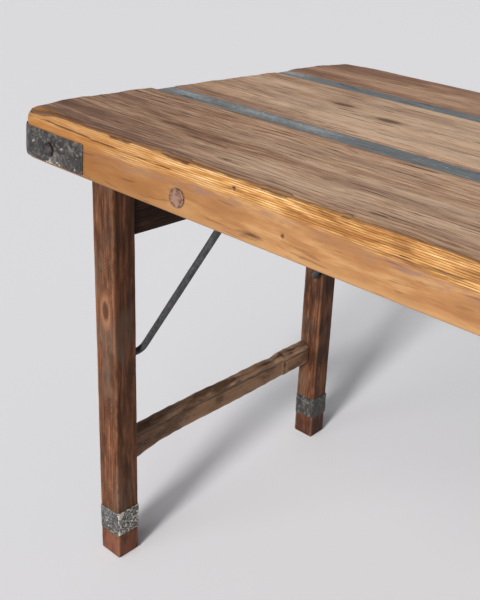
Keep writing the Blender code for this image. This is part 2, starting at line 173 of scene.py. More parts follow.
@dataclass
class Skin:
    """The points and faces of one closed mesh while it is made."""

    spots: list[Spot] = field(default_factory=list)
    faces: list[tuple[int, ...]] = field(default_factory=list)

    def add_ring(self, ring: Sequence[Spot]) -> list[int]:
        """Adds a ring of spots.

        Args:
            ring: The spots in order.

        Returns:
            Their indices.
        """
        start = len(self.spots)
        self.spots.extend(ring)
        return list(range(start, start + len(ring)))

    def bridge(self, first: Sequence[int], second: Sequence[int]) -> None:
        """Joins two rings of the same length with four-sided faces.

        Args:
            first: The first ring's indices.
            second: The second ring's.
        """
        count = len(first)
        for i in range(count):
            j = (i + 1) % count
            self.faces.append((first[i], first[j], second[j], second[i]))

    def join(self, rings: Sequence[Sequence[int]]) -> None:
        """Joins each ring to the next."""
        for first, second in zip(rings, rings[1:]):
            self.bridge(first, second)

    def shut(self, rings: Sequence[Sequence[int]]) -> None:
        """Closes the first and the last ring, each with one face."""
        self.faces.append(tuple(reversed(rings[0])))
        self.faces.append(tuple(rings[-1]))

    def fan(self, ring: Sequence[int], middle: Spot, facing_on: bool) -> None:
        """Closes a ring with triangles about a middle spot.

        Args:
            ring: The ring's indices.
            middle: The spot at its middle.
            facing_on: True where the ring is the skin's last one.
        """
        tip = self.add_ring([middle])[0]
        count = len(ring)
        for i in range(count):
            j = (i + 1) % count
            self.faces.append((ring[i], ring[j], tip) if facing_on else (ring[j], ring[i], tip))

    def to_object(self, name: str, finish: "Finish", sharp: float = 45.0) -> Piece:
        """Makes the mesh object and writes the surface values onto it.

        Args:
            name: The object's name.
            finish: The finish that dresses it.
            sharp: Edges that turn more than this many degrees stay sharp.

        Returns:
            The object.
        """
        mesh = bpy.data.meshes.new(name)
        mesh.from_pydata([spot.point for spot in self.spots], [], self.faces)
        for value in Value:
            if value is Value.PLACE:
                layer = mesh.attributes.new(value.value, "FLOAT_VECTOR", "POINT")
                flat = [number for spot in self.spots for number in spot.place]
                layer.data.foreach_set("vector", flat)
            else:
                layer = mesh.attributes.new(value.value, "FLOAT", "POINT")
                layer.data.foreach_set("value", [getattr(spot, value.value) for spot in self.spots])
        shape = bmesh.new()
        shape.from_mesh(mesh)
        bmesh.ops.recalc_face_normals(shape, faces=shape.faces)
        shape.to_mesh(mesh)
        shape.free()
        mesh.shade_smooth()
        mesh.set_sharp_from_angle(angle=math.radians(sharp))
        mesh.materials.append(finish.material())
        piece = bpy.data.objects.new(name, mesh)
        bpy.context.scene.collection.objects.link(piece)
        return piece


def hand_over(piece: Piece, node: str, stands_for: bool = True) -> Piece:
    """Lets a piece move with a node's body, and stand for the node itself.

    Args:
        piece: The finished piece.
        node: The node whose body it takes.
        stands_for: Whether it replaces the node.

    Returns:
        The piece.
    """
    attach(piece, BODY_OF[node])
    if stands_for:
        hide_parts(node)
    LOG.info("%s rides on %s", piece.name, BODY_OF[node])
    return piece


# ---- Shader trees ----


class Tree:
    """Adds and wires the nodes of one shader tree."""

    def __init__(self, tree: bpy.types.NodeTree) -> None:
        """Keeps the tree that nodes go into."""
        self.tree = tree

    def add(self, kind: str, **settings: object) -> Node:
        """Adds a node.

        Args:
            kind: The node's type without the ShaderNode prefix.
            settings: Properties to set on it.

        Returns:
            The node.
        """
        node = self.tree.nodes.new("ShaderNode" + kind)
        for key, setting in settings.items():
            setattr(node, key, setting)
        return node

    def feed(self, socket: Socket, value: object) -> None:
        """Links a socket to another one, or sets its own value.

        Args:
            socket: The socket to feed.
            value: A socket, or a value.
        """
        if isinstance(value, Socket):
            self.tree.links.new(value, socket)
        elif isinstance(value, tuple) and socket.type == "RGBA":
            socket.default_value = (*value, 1.0)
        else:
            socket.default_value = value

    def wired(self, kind: str, inputs: dict[int | str, object], output: int | str = 0,
              **settings: object) -> Socket:
        """Adds a node and feeds its inputs.

        Args:
            kind: The node's type without the ShaderNode prefix.
            inputs: Its inputs by number or name.
            output: The output wanted.
            settings: Properties to set on it.

        Returns:
            The output.
        """
        node = self.add(kind, **settings)
        for key, value in inputs.items():
            self.feed(node.inputs[key], value)
        return node.outputs[output]

    def math(self, operation: str, *values: object) -> Socket:
        """A math node's result."""
        return self.wired("Math", dict(enumerate(values)), operation=operation)

    def times(self, first: object, second: object) -> Socket:
        """The product of two values."""
        return self.math("MULTIPLY", first, second)

    def plus(self, first: object, second: object) -> Socket:
        """The sum of two values."""
        return self.math("ADD", first, second)

    def scaled(self, value: object, factor: object, added: object) -> Socket:
        """A value times a factor, with another value added."""
        return self.math("MULTIPLY_ADD", value, factor, added)

    def centred(self, value: object) -> Socket:
        """A value from 0 to 1, moved to run about 0."""
        return self.math("SUBTRACT", value, 0.5)

    def stretched(self, place: object, factors: Color) -> Socket:
        """A place scaled by its own factor along each axis."""
        return self.wired("VectorMath", {0: place, 1: factors}, operation="MULTIPLY")

    def noise(self, place: object, scale: object = 1.0, detail: float = 3.0, rough: float = 0.55,
              twist: float = 0.0) -> Socket:
        """Noise from 0 to 1, with its octaves, how strong each finer one is, and its distortion."""
        looks = {"Vector": place, "Scale": scale, "Detail": detail, "Roughness": rough, "Distortion": twist}
        return self.wired("TexNoise", looks, "Fac")

    def between(self, value: object, low: object, high: object) -> Socket:
        """A smooth step from 0 at low to 1 at high."""
        levels = {"Value": value, "From Min": low, "From Max": high}
        return self.wired("MapRange", levels, "Result", interpolation_type="SMOOTHSTEP")

    def patches(self, place: object, factors: Color, low: float, high: float,
                detail: float = 4.0) -> Socket:
        """Patches of noise stretched along the grain, cut between two levels."""
        return self.between(self.noise(self.stretched(place, factors), detail=detail), low, high)

    def mix(self, share: object, base: object, top: object) -> Socket:
        """One colour laid over another, as much as the share says."""
        return self.wired("Mix", {0: share, 6: base, 7: top}, 2, data_type="RGBA", blend_type="MIX")

    def over(self, base: object, share: object, strength: float, top: object) -> Socket:
        """A colour laid over another, as much as its mask and its strength say."""
        return self.mix(self.times(share, strength), base, top)

    def ramp(self, value: object, stops: Sequence[tuple[float, Color]]) -> Socket:
        """A colour from a ramp of (position, colour) stops.

        Args:
            value: A value from 0 to 1.
            stops: The stops, lowest first.

        Returns:
            The colour.
        """
        node = self.add("ValToRGB")
        elements = node.color_ramp.elements
        while len(elements) < len(stops):
            elements.new(0.5)
        for element, (position, color) in zip(elements, stops):
            element.position = position
            element.color = (*color, 1.0)
        self.feed(node.inputs[0], value)
        return node.outputs["Color"]

    def read(self, value: Value) -> Socket:
        """A surface value of the mesh."""
        node = self.add("Attribute", attribute_name=value.value)
        return node.outputs["Vector" if value is Value.PLACE else "Fac"]

    def shared(self, effect: "Effect", **inputs: object) -> Sockets:
        """Places a shared effect.

        Args:
            effect: The effect.
            inputs: Its inputs, with underscores for spaces.

        Returns:
            Its outputs by name.
        """
        node = self.add("Group")
        node.node_tree = effect.tree()
        for key, value in inputs.items():
            self.feed(node.inputs[key.replace("_", " ")], value)
        return {socket.name: socket for socket in node.outputs}


class Effect:
    """A node group that several finishes share, built when it is first used."""

    name = "effect"
    inputs: dict[str, float | None] = {}
    outputs: tuple[str, ...] = ()

    def tree(self) -> bpy.types.NodeTree:
        """The group's tree, made once. An input with no number is a vector.

        Returns:
            The group's tree.
        """
        made = bpy.data.node_groups.get(self.name)
        if made:
            return made
        made = bpy.data.node_groups.new(self.name, "ShaderNodeTree")
        for title, value in self.inputs.items():
            kind = "NodeSocketVector" if value is None else "NodeSocketFloat"
            socket = made.interface.new_socket(name=title, in_out="INPUT", socket_type=kind)
            if value is not None:
                socket.default_value = value
        for title in self.outputs:
            made.interface.new_socket(name=title, in_out="OUTPUT", socket_type="NodeSocketFloat")
        shades = Tree(made)
        given = made.nodes.new("NodeGroupInput").outputs
        wanted = made.nodes.new("NodeGroupOutput").inputs
        for title, result in self.wire(shades, given).items():
            shades.feed(wanted[title], result)
        return made

    def wire(self, shades: Tree, given: bpy.types.NodeOutputs) -> Sockets:
        """Adds the group's nodes and returns its results by output name."""
        raise NotImplementedError


class Grain(Effect):
    """Growth rings, broad streaks, fine fibres and open pores of sawn wood."""

    name = "wood_grain"
    inputs = {"Place": None, "Growth": 0.0, "Ring Pitch": 0.006, "Waver": 1.0}
    outputs = ("Rings", "Streaks", "Fibres", "Pores", "Clouds")

    def wire(self, shades: Tree, given: bpy.types.NodeOutputs) -> Sockets:
        """Reads noise stretched along the grain at four scales.

        Args:
            shades: The group's tree.
            given: The group's inputs.

        Returns:
            The results by output name.
        """
        bend = shades.noise(shades.stretched(given["Place"], (5.0, 9.0, 9.0)), detail=2.0)
        aside = shades.wired("CombineXYZ", {"Y": shades.times(shades.centred(bend), 0.03)})
        place = shades.wired("VectorMath", {0: given["Place"], 1: aside}, operation="ADD")
        slow = shades.noise(shades.stretched(place, (2.6, 24.0, 24.0)), detail=4.0)
        count = shades.math("DIVIDE", given["Growth"], given["Ring Pitch"])
        waver = shades.times(shades.centred(slow), given["Waver"])
        turn = shades.math("FRACT", shades.plus(count, waver))
        rings = shades.math("POWER", turn, 3.0)
        streaks = shades.noise(shades.stretched(place, (15.0, 170.0, 170.0)), detail=5.0, rough=0.68)
        fibres = shades.noise(shades.stretched(place, (13.0, 430.0, 430.0)), detail=3.0, rough=0.6)
        pitted = shades.noise(shades.stretched(place, (17.0, 280.0, 280.0)), detail=3.0)
        return {
            "Rings": rings,
            "Streaks": streaks,
            "Fibres": fibres,
            "Pores": shades.between(pitted, 0.60, 0.67),
            "Clouds": slow,
        }


class Weathering(Effect):
    """Rubbed edges, ground-in dirt with painted shade, and pale dust."""

    name = "weathering"
    inputs = {"Place": None, "Wear": 0.0, "Grime": 0.0, "Raggedness": 0.6}
    outputs = ("Rubbed", "Soiled", "Dust")

    def wire(self, shades: Tree, given: bpy.types.NodeOutputs) -> Sockets:
        """Breaks the mesh's own wear values, and its values of grime and painted shade, up with noise.

        Args:
            shades: The group's tree.
            given: The group's inputs.

        Returns:
            The results by output name.
        """
        place = given["Place"]
        broken = shades.noise(shades.stretched(place, (40.0, 130.0, 130.0)), detail=4.0, rough=0.65)
        uneven = shades.times(shades.centred(broken), given["Raggedness"])
        rubbed = shades.between(shades.plus(given["Wear"], uneven), 0.38, 0.85)
        # The soiled output darkens for dirt and for painted shade alike.
        patchy = shades.noise(shades.stretched(place, (24.0, 170.0, 170.0)), detail=5.0, rough=0.65)
        lift = shades.times(shades.centred(patchy), 1.5)
        soiled_and_shaded = shades.between(shades.plus(given["Grime"], lift), 0.22, 0.8)
        dust = shades.between(shades.noise(place, 320.0, detail=2.0), 0.68, 0.78)
        return {"Rubbed": rubbed, "Soiled": soiled_and_shaded, "Dust": dust}


class Knots(Effect):
    """The dark heart and the warm halo of a knot."""

    name = "knots"
    inputs = {"Place": None, "Knot": 0.0}
    outputs = ("Heart", "Halo")

    def wire(self, shades: Tree, given: bpy.types.NodeOutputs) -> Sockets:
        """Cuts the mesh's knot value at two ragged levels.

        Args:
            shades: The group's tree.
            given: The group's inputs.

        Returns:
            The results by output name.
        """
        rag = shades.noise(shades.stretched(given["Place"], (60.0, 160.0, 160.0)), detail=3.0)
        level = shades.plus(given["Knot"], shades.times(rag, 0.3))
        return {
            "Heart": shades.between(level, 0.62, 0.95),
            "Halo": shades.between(level, 0.22, 0.7),
        }


class SawMarks(Effect):
    """Slanting marks that a coarse saw or an adze leaves across the grain."""

    name = "saw_marks"
    inputs = {"Place": None, "Pitch": 0.005, "Slant": 0.8}
    outputs = ("Marks",)

    def wire(self, shades: Tree, given: bpy.types.NodeOutputs) -> Sockets:
        """Repeats a slanted line and lets it fade in and out.

        Args:
            shades: The group's tree.
            given: The group's inputs.

        Returns:
            The results by output name.
        """
        parts = shades.add("SeparateXYZ")
        shades.feed(parts.inputs[0], given["Place"])
        across = shades.plus(parts.outputs["Y"], parts.outputs["Z"])
        slanted = shades.scaled(across, given["Slant"], parts.outputs["X"])
        bend = shades.noise(given["Place"], 24.0, detail=2.0)
        count = shades.math("DIVIDE", slanted, given["Pitch"])
        turn = shades.math("FRACT", shades.scaled(bend, 2.4, count))
        line = shades.between(shades.math("ABSOLUTE", shades.centred(turn)), 0.28, 0.5)
        patch = shades.between(shades.noise(given["Place"], 17.0, detail=3.0), 0.42, 0.62)
        return {"Marks": shades.times(line, patch)}


class Flecks(Effect):
    """Soft mottling and crisp chips of old metal and paint."""

    name = "flecks"
    inputs = {"Place": None, "Size": 0.004, "Amount": 0.5}
    outputs = ("Mottle", "Chips", "Pits")

    def wire(self, shades: Tree, given: bpy.types.NodeOutputs) -> Sockets:
        """Cuts noise of the given size at the level that the amount asks for.

        Args:
            shades: The group's tree.
            given: The group's inputs.

        Returns:
            The results by output name.
        """
        scale = shades.math("DIVIDE", 1.0, given["Size"])
        mottle = shades.noise(given["Place"], shades.times(scale, 0.55), 5.0, 0.68, 1.2)
        grit = shades.noise(given["Place"], scale, 4.0, 0.6, 0.8)
        level = shades.scaled(given["Amount"], -0.3, 0.78)
        chips = shades.between(grit, level, shades.plus(level, 0.07))
        pits = shades.between(shades.noise(given["Place"], shades.times(scale, 2.2), 2.0), 0.6, 0.72)
        return {"Mottle": shades.between(mottle, 0.36, 0.66), "Chips": chips, "Pits": pits}


GRAIN = Grain()
WEATHERING = Weathering()
KNOTS = Knots()
SAW_MARKS = SawMarks()
FLECKS = Flecks()


# ---- Finishes ----


@dataclass(frozen=True)
class Finish:
    """A named material that is made once, with the constants of its shader."""

    name: str = "plain"
    metallic: float = 0.0
    specular: float = 0.5
    bump: float = 0.3
    bump_depth: float = 0.001

    def material(self) -> bpy.types.Material:
        """The finish's material.

        Returns:
            The material.
        """
        made = bpy.data.materials.get(self.name)
        if made:
            return made
        made = bpy.data.materials.new(self.name)
        made.use_nodes = True
        shader = made.node_tree.nodes["Principled BSDF"]
        shader.inputs["Metallic"].default_value = self.metallic
        shader.inputs["Specular IOR Level"].default_value = self.specular
        shades = Tree(made.node_tree)
        color, gloss, relief = self.dress(shades)
        shades.feed(shader.inputs["Base Color"], color)
        shades.feed(shader.inputs["Roughness"], gloss)
        if relief:
            levels = {"Strength": self.bump, "Distance": self.bump_depth, "Height": relief}
            shades.feed(shader.inputs["Normal"], shades.wired("Bump", levels))
        return made

    def dress(self, shades: Tree) -> Look:
        """Adds the finish's nodes and returns its colour, its roughness and its relief."""
        raise NotImplementedError


@dataclass(frozen=True)
class WeatheredPlank(Finish):
    """Grey-brown softwood boards with long soft streaks and oval knots."""

    name: str = "weathered_boards"
    specular: float = 0.14
    bump: float = 0.45
    shadow: Color = (0.115, 0.060, 0.037)
    brown: Color = (0.265, 0.142, 0.085)
    tan: Color = (0.45, 0.275, 0.172)
    cream: Color = (0.64, 0.445, 0.30)
    mauve: Color = (0.222, 0.140, 0.108)
    amber: Color = (0.13, 0.055, 0.018)
    gold: Color = (0.35, 0.165, 0.05)
    glow: Color = (0.55, 0.32, 0.12)
    redness: Color = (0.28, 0.14, 0.09)
    slit: Color = (0.060, 0.032, 0.022)

    def dress(self, shades: Tree) -> Look:
        """Builds the boards' colour from grain, patina, knots, dirt and painted shade.

        Args:
            shades: The material's tree.

        Returns:
            The colour, the roughness and the relief.
        """
        place, shade = shades.read(Value.PLACE), shades.read(Value.SHADE)
        grain = shades.shared(GRAIN, Place=place, Growth=shades.read(Value.GROWTH), Ring_Pitch=0.0075,
                              Waver=1.6)
        worn = shades.shared(WEATHERING, Place=place, Wear=shades.read(Value.WEAR),
                             Grime=shades.read(Value.GRIME))
        knots = shades.shared(KNOTS, Place=place, Knot=shades.read(Value.KNOT))
        level = shades.scaled(grain["Rings"], -0.09, grain["Streaks"])
        level = shades.scaled(shades.centred(grain["Fibres"]), 0.42, level)
        level = shades.scaled(shades.centred(grain["Clouds"]), 0.95, level)
        # The shade value also lifts the boards towards the middle of the table, partly as painted sheen.
        level = shades.scaled(shade, -0.20, level)
        color = shades.ramp(level, ((0.20, self.shadow), (0.36, self.brown), (0.54, self.tan),
                                    (0.76, self.cream)))
        faded = shades.noise(shades.stretched(place, (3.2, 20.0, 20.0)), detail=4.0, twist=0.5)
        veil = shades.times(shades.between(faded, 0.46, 0.62), 0.42)
        veil = shades.math("MAXIMUM", veil, shades.times(shade, 0.45))
        color = shades.mix(veil, color, self.mauve)
        red = shades.times(shades.read(Value.PALE), 0.5)
        color = shades.mix(red, color, self.redness)
        gilded = shades.ramp(level, ((0.22, self.amber), (0.42, self.gold), (0.70, self.glow)))
        gilt = shades.scaled(shades.centred(grain["Fibres"]), 0.7, shades.read(Value.GILT))
        color = shades.mix(shades.between(gilt, 0.2, 0.75), color, gilded)
        color = shades.over(color, grain["Pores"], 0.7, self.shadow)
        split = shades.patches(place, (11.0, 210.0, 210.0), 0.655, 0.685, 2.0)
        color = shades.over(color, split, 0.75, self.slit)
        color = shades.over(color, knots["Halo"], 0.45, self.brown)
        color = shades.over(color, knots["Heart"], 0.8, self.shadow)
        color = shades.over(color, worn["Rubbed"], 0.6, self.cream)
        # Dirt, and painted shade in the gaps between boards.
        color = shades.over(color, worn["Soiled"], 0.75, self.shadow)
        color = shades.over(color, worn["Dust"], 0.12, self.cream)
        gloss = shades.scaled(grain["Streaks"], 0.25, 0.5)
        height = shades.scaled(grain["Rings"], -0.5, grain["Fibres"])
        return color, gloss, shades.scaled(grain["Pores"], -0.6, height)


@dataclass(frozen=True)
class GoldenPine(Finish):
    """Old varnished pine: gold with fine dark lines at the crown, honey-tan on the faces."""

    name: str = "varnished_pine"
    specular: float = 0.3
    deep: Color = (0.18, 0.064, 0.009)
    russet: Color = (0.24, 0.094, 0.020)
    line: Color = (0.040, 0.014, 0.005)
    amber: Color = (0.23, 0.088, 0.018)
    gold: Color = (0.47, 0.235, 0.068)
    honey: Color = (0.295, 0.138, 0.048)
    tan: Color = (0.235, 0.102, 0.036)
    pale: Color = (0.36, 0.195, 0.08)
    crest: Color = (0.74, 0.48, 0.225)
    mauve: Color = (0.195, 0.105, 0.07)

    def dress(self, shades: Tree) -> Look:
        """Builds the rail's colour from its crown down to its foot.

        Args:
            shades: The material's tree.

        Returns:
            The colour, the roughness and the relief.
        """
        place, wear = shades.read(Value.PLACE), shades.read(Value.WEAR)
        gilt, pale = shades.read(Value.GILT), shades.read(Value.PALE)
        grain = shades.shared(GRAIN, Place=place, Growth=shades.read(Value.GROWTH), Ring_Pitch=0.0026,
                              Waver=1.1)
        worn = shades.shared(WEATHERING, Place=place, Wear=wear, Grime=shades.read(Value.GRIME))
        soft = shades.noise(shades.stretched(place, (9.0, 36.0, 36.0)), detail=4.0, rough=0.6)
        soft = shades.scaled(shades.centred(grain["Streaks"]), 0.55, soft)
        face = shades.ramp(soft, ((0.36, self.tan), (0.52, self.honey), (0.64, self.pale)))
        face = shades.over(face, pale, 0.8, self.pale)
        speck = shades.patches(place, (42.0, 120.0, 120.0), 0.36, 0.68, 5.0)
        fire = shades.scaled(shades.centred(grain["Clouds"]), 0.9, grain["Streaks"])
        crown = shades.ramp(shades.scaled(grain["Fibres"], 0.4, fire),
                            ((0.5, self.amber), (0.68, self.gold), (0.88, self.crest)))
        lines = shades.between(grain["Rings"], 0.22, 0.6)
        broken = shades.times(lines, shades.between(grain["Fibres"], 0.32, 0.55))
        crown = shades.over(crown, broken, 0.85, self.line)
        color = shades.mix(gilt, face, crown)
        varnish = shades.scaled(wear, -0.75, 0.75)
        rich = shades.mix(gilt, self.deep, self.russet)
        color = shades.mix(varnish, color, rich)
        band = shades.times(shades.read(Value.SHADE), speck)
        color = shades.over(color, band, 0.95, self.mauve)
        color = shades.over(color, grain["Pores"], 0.4, self.line)
        # Dirt, and painted shade on the faces inside the lip.
        color = shades.over(color, worn["Soiled"], 0.85, self.line)
        color = shades.over(color, worn["Dust"], 0.2, self.pale)
        gloss = shades.scaled(soft, 0.1, shades.scaled(gilt, -0.08, 0.46))
        height = shades.scaled(shades.times(lines, gilt), -0.8, grain["Fibres"])
        return color, gloss, height


@dataclass(frozen=True)
class StainedWood(Finish):
    """Dark red-brown hardwood with coarse saw marks, lighter where hands and feet rub it."""

    name: str = "stained_hardwood"
    specular: float = 0.10
    pitch_black: Color = (0.014, 0.007, 0.005)
    dark: Color = (0.046, 0.018, 0.009)
    red_brown: Color = (0.125, 0.047, 0.021)
    rubbed: Color = (0.25, 0.118, 0.062)
    grey: Color = (0.105, 0.066, 0.045)
    foot: Color = (0.150, 0.051, 0.030)

    def dress(self, shades: Tree) -> Look:
        """Builds the legs' colour from grain, saw marks, wear, dirt and painted shade.

        Args:
            shades: The material's tree.

        Returns:
            The colour, the roughness and the relief.
        """
        place, wear = shades.read(Value.PLACE), shades.read(Value.WEAR)
        grain = shades.shared(GRAIN, Place=place, Growth=shades.read(Value.GROWTH), Ring_Pitch=0.005,
                              Waver=1.4)
        worn = shades.shared(WEATHERING, Place=place, Wear=wear, Grime=shades.read(Value.GRIME),
                             Raggedness=0.9)
        knots = shades.shared(KNOTS, Place=place, Knot=shades.read(Value.KNOT))
        sawn = shades.shared(SAW_MARKS, Place=place, Pitch=0.0055, Slant=0.9)
        level = shades.scaled(grain["Rings"], -0.14, grain["Streaks"])
        level = shades.scaled(shades.centred(grain["Fibres"]), 0.3, level)
        color = shades.ramp(level, ((0.3, self.dark), (0.5, self.red_brown), (0.78, self.rubbed)))
        patch = shades.patches(place, (9.0, 22.0, 22.0), 0.48, 0.66)
        color = shades.over(color, patch, 0.7, self.grey)
        color = shades.over(color, shades.read(Value.PALE), 0.75, self.foot)
        color = shades.over(color, sawn["Marks"], 0.6, self.dark)
        color = shades.over(color, knots["Halo"], 0.7, self.rubbed)
        color = shades.over(color, knots["Heart"], 0.85, self.dark)
        # Dirt, and painted shade at the legs' crowns and on the back legs.
        color = shades.over(color, worn["Soiled"], 0.75, self.pitch_black)
        color = shades.over(color, worn["Rubbed"], 0.32, self.rubbed)
        smudge = shades.noise(shades.stretched(place, (13.0, 34.0, 34.0)), detail=5.0, rough=0.7)
        color = shades.over(color, shades.between(smudge, 0.48, 0.64), 0.72, self.dark)
        gloss = shades.scaled(grain["Streaks"], 0.3, 0.38)
        height = shades.scaled(sawn["Marks"], -0.7, grain["Fibres"])
        return color, gloss, shades.scaled(grain["Pores"], -0.5, height)


@dataclass(frozen=True)
class SlatePaint(Finish):
    """Blue-grey paint worn thin over the wood, with dark scuffs and pale specks."""

    name: str = "slate_paint"
    specular: float = 0.2
    slate: Color = (0.105, 0.114, 0.118)
    blue_grey: Color = (0.198, 0.212, 0.216)
    chalk: Color = (0.40, 0.41, 0.40)
    soot: Color = (0.035, 0.035, 0.035)
    wood: Color = (0.40, 0.27, 0.175)

    def dress(self, shades: Tree) -> Look:
        """Lays paint over wood and lets the wood through at the edges.

        Args:
            shades: The material's tree.

        Returns:
            The colour, the roughness and the relief.
        """
        place, wear = shades.read(Value.PLACE), shades.read(Value.WEAR)
        grain = shades.shared(GRAIN, Place=place, Growth=shades.read(Value.GROWTH), Ring_Pitch=0.006)
        worn = shades.shared(WEATHERING, Place=place, Wear=wear, Grime=shades.read(Value.GRIME))
        pale = shades.read(Value.PALE)
        specks = shades.shared(FLECKS, Place=shades.stretched(place, (0.4, 1.0, 1.0)), Size=0.003,
                               Amount=shades.scaled(pale, 0.55, 0.6))
        level = shades.scaled(shades.centred(grain["Fibres"]), 0.5, grain["Streaks"])
        color = shades.ramp(level, ((0.3, self.slate), (0.62, self.blue_grey)))
        scuff = shades.patches(place, (16.0, 70.0, 70.0), 0.58, 0.66)
        color = shades.over(color, scuff, 0.7, self.soot)
        color = shades.over(color, specks["Chips"], 0.7, self.chalk)
        color = shades.over(color, pale, 0.3, self.chalk)
        color = shades.over(color, worn["Rubbed"], 0.8, self.wood)
        # Dirt, and painted shade on the strips' sides.
        color = shades.over(color, worn["Soiled"], 0.8, self.soot)
        return color, shades.scaled(level, 0.2, 0.5), level


@dataclass(frozen=True)
class FleckedIron(Finish):
    """Dark iron with a mottled grey-green bloom and pale chips."""

    name: str = "hammered_strap"
    metallic: float = 0.25
    soot: Color = (0.008, 0.008, 0.008)
    body: Color = (0.040, 0.036, 0.033)
    bloom: Color = (0.12, 0.110, 0.098)
    chalk: Color = (0.44, 0.42, 0.37)
    rust: Color = (0.075, 0.042, 0.032)
    fleck_size: float = 0.0065
    fleck_amount: float = 0.45
    rust_share: float = 0.35

    def dress(self, shades: Tree) -> Look:
        """Mottles the iron and chips it towards its lower edge.

        Args:
            shades: The material's tree.

        Returns:
            The colour, the roughness and the relief.
        """
        place, pale = shades.read(Value.PLACE), shades.read(Value.PALE)
        amount = shades.scaled(pale, 0.4, self.fleck_amount)
        flecks = shades.shared(FLECKS, Place=place, Size=self.fleck_size, Amount=amount)
        worn = shades.shared(WEATHERING, Place=place, Wear=shades.read(Value.WEAR),
                             Grime=shades.read(Value.GRIME))
        grit = shades.noise(place, 420.0, detail=3.0)
        color = shades.ramp(flecks["Mottle"], ((0.05, self.soot), (0.5, self.body), (0.95, self.bloom)))
        color = shades.over(color, shades.between(grit, 0.35, 0.75), 0.5, self.body)
        stained = shades.between(shades.noise(place, 55.0, detail=4.0), 0.54, 0.68)
        color = shades.over(color, stained, self.rust_share, self.rust)
        color = shades.over(color, flecks["Pits"], 0.5, self.soot)
        color = shades.over(color, flecks["Chips"], 0.8, self.chalk)
        color = shades.over(color, worn["Rubbed"], 0.45, self.bloom)
        color = shades.over(color, worn["Soiled"], 0.7, self.soot)
        gloss = shades.scaled(flecks["Mottle"], 0.25, 0.4)
        height = shades.scaled(flecks["Pits"], -0.7, flecks["Mottle"])
        return color, gloss, shades.scaled(grit, 0.5, height)


@dataclass(frozen=True)
class StageTone(Finish):
    """The plain pale floor."""

    name: str = "studio_floor"
    roughness: float = 0.9
    tone: Color = (0.83, 0.83, 0.85)

    def dress(self, shades: Tree) -> Look:
        """The plain colour."""
        return self.tone, self.roughness, None


PLANK = WeatheredPlank()
PINE = GoldenPine()
STAINED = StainedWood()
# The cross rails' finish: the stained wood made far darker, a painted shade for their place in the shade
# under the top.
SHADED_HARDWOOD = StainedWood(name="sooty_hardwood", specular=0.08, pitch_black=(0.005, 0.003, 0.002),
                    dark=(0.009, 0.0038, 0.0022), red_brown=(0.026, 0.011, 0.0062),
                    rubbed=(0.065, 0.031, 0.019), grey=(0.024, 0.015, 0.011))
HEWN = StainedWood(name="weathered_bar", pitch_black=(0.02, 0.012, 0.009), dark=(0.060, 0.032, 0.020),
                   red_brown=(0.19, 0.110, 0.068), rubbed=(0.38, 0.25, 0.17), grey=(0.20, 0.15, 0.115),
                   foot=(0.235, 0.128, 0.070))
PAINT = SlatePaint()
STRAP = FleckedIron()
BAND = FleckedIron(name="zinc_band", metallic=0.2, soot=(0.012, 0.012, 0.012),
                   body=(0.06, 0.057, 0.055), bloom=(0.19, 0.18, 0.168), chalk=(0.60, 0.58, 0.50),
                   rust=(0.06, 0.045, 0.035), fleck_size=0.0042, fleck_amount=0.5, rust_share=0.2)
ROD = FleckedIron(name="drawn_rod", metallic=0.35, soot=(0.016, 0.016, 0.017),
                  body=(0.04, 0.04, 0.042), bloom=(0.075, 0.075, 0.078), chalk=(0.16, 0.15, 0.14),
                  rust=(0.07, 0.04, 0.03), fleck_size=0.003, fleck_amount=0.1, rust_share=0.3)
BOLT = FleckedIron(name="rusted_head", metallic=0.1, soot=(0.055, 0.028, 0.020),
                   body=(0.18, 0.090, 0.056), bloom=(0.26, 0.145, 0.10), chalk=(0.32, 0.21, 0.155),
                   rust=(0.15, 0.065, 0.035), fleck_size=0.004, fleck_amount=0.2, rust_share=0.5)
HEAD = FleckedIron(name="blackened_head", metallic=0.2, soot=(0.008, 0.006, 0.007),
                   body=(0.030, 0.022, 0.023), bloom=(0.07, 0.055, 0.055), chalk=(0.18, 0.15, 0.14),
                   rust=(0.05, 0.03, 0.025), fleck_size=0.003, fleck_amount=0.15, rust_share=0.4)


# ---- Timbers ----


@dataclass(frozen=True)
class Knot:
    """A knot at a place along, across and up a timber, with its size."""

    along: float
    across: float
    up: float
    size: float

    def depth_at(self, place: Vector) -> float:
        """How deep inside the knot a place lies: 1 at its heart, 0 far away."""
        beside = ((place.y - self.across) / self.size) ** 2 + ((place.z - self.up) / self.size) ** 2
        return math.exp(-(((place.x - self.along) / (2.4 * self.size)) ** 2 + beside))


@dataclass
class SectionPoint:
    """A point of a timber's section: across, up and how much of an edge it is."""

    across: float
    up: float
    edge: float


def rounded_section(low: tuple[float, float], high: tuple[float, float], radii: Sequence[float],
                    steps: Sequence[int]) -> list[SectionPoint]:
    """A four-sided outline with rounded corners, counter-clockwise from its lowest corner.

    Args:
        low: Its lowest across and up.
        high: Its highest across and up.
        radii: The corners' radii, in the order that the outline meets them.
        steps: How many pieces each side has, from the underside round.

    Returns:
        The outline's points.
    """
    corners = ((low[0], low[1], 1, 1), (high[0], low[1], -1, 1), (high[0], high[1], -1, -1),
               (low[0], high[1], 1, -1))
    arcs = []
    for (across, up, right, above), radius, quarter in zip(corners, radii, (2, 3, 0, 1)):
        centre = (across + right * radius, up + above * radius)
        arc = []
        for i in range(ARC_STEPS + 1):
            turn = math.pi / 2 * (quarter + i / ARC_STEPS)
            arc.append(SectionPoint(centre[0] + radius * math.cos(turn),
                                    centre[1] + radius * math.sin(turn), 1.0))
        arcs.append(arc)
    outline: list[SectionPoint] = []
    for arc, following, count in zip(arcs, arcs[1:] + arcs[:1], steps):
        outline.extend(arc)
        start, stop = arc[-1], following[0]
        length = math.hypot(stop.across - start.across, stop.up - start.up)
        for i in range(1, count):
            share = i / count
            nearest = min(share, 1 - share) * length
            outline.append(SectionPoint(start.across + (stop.across - start.across) * share,
                                        start.up + (stop.up - start.up) * share,
                                        bell(nearest, 0.0, EDGE_REACH)))
    return outline


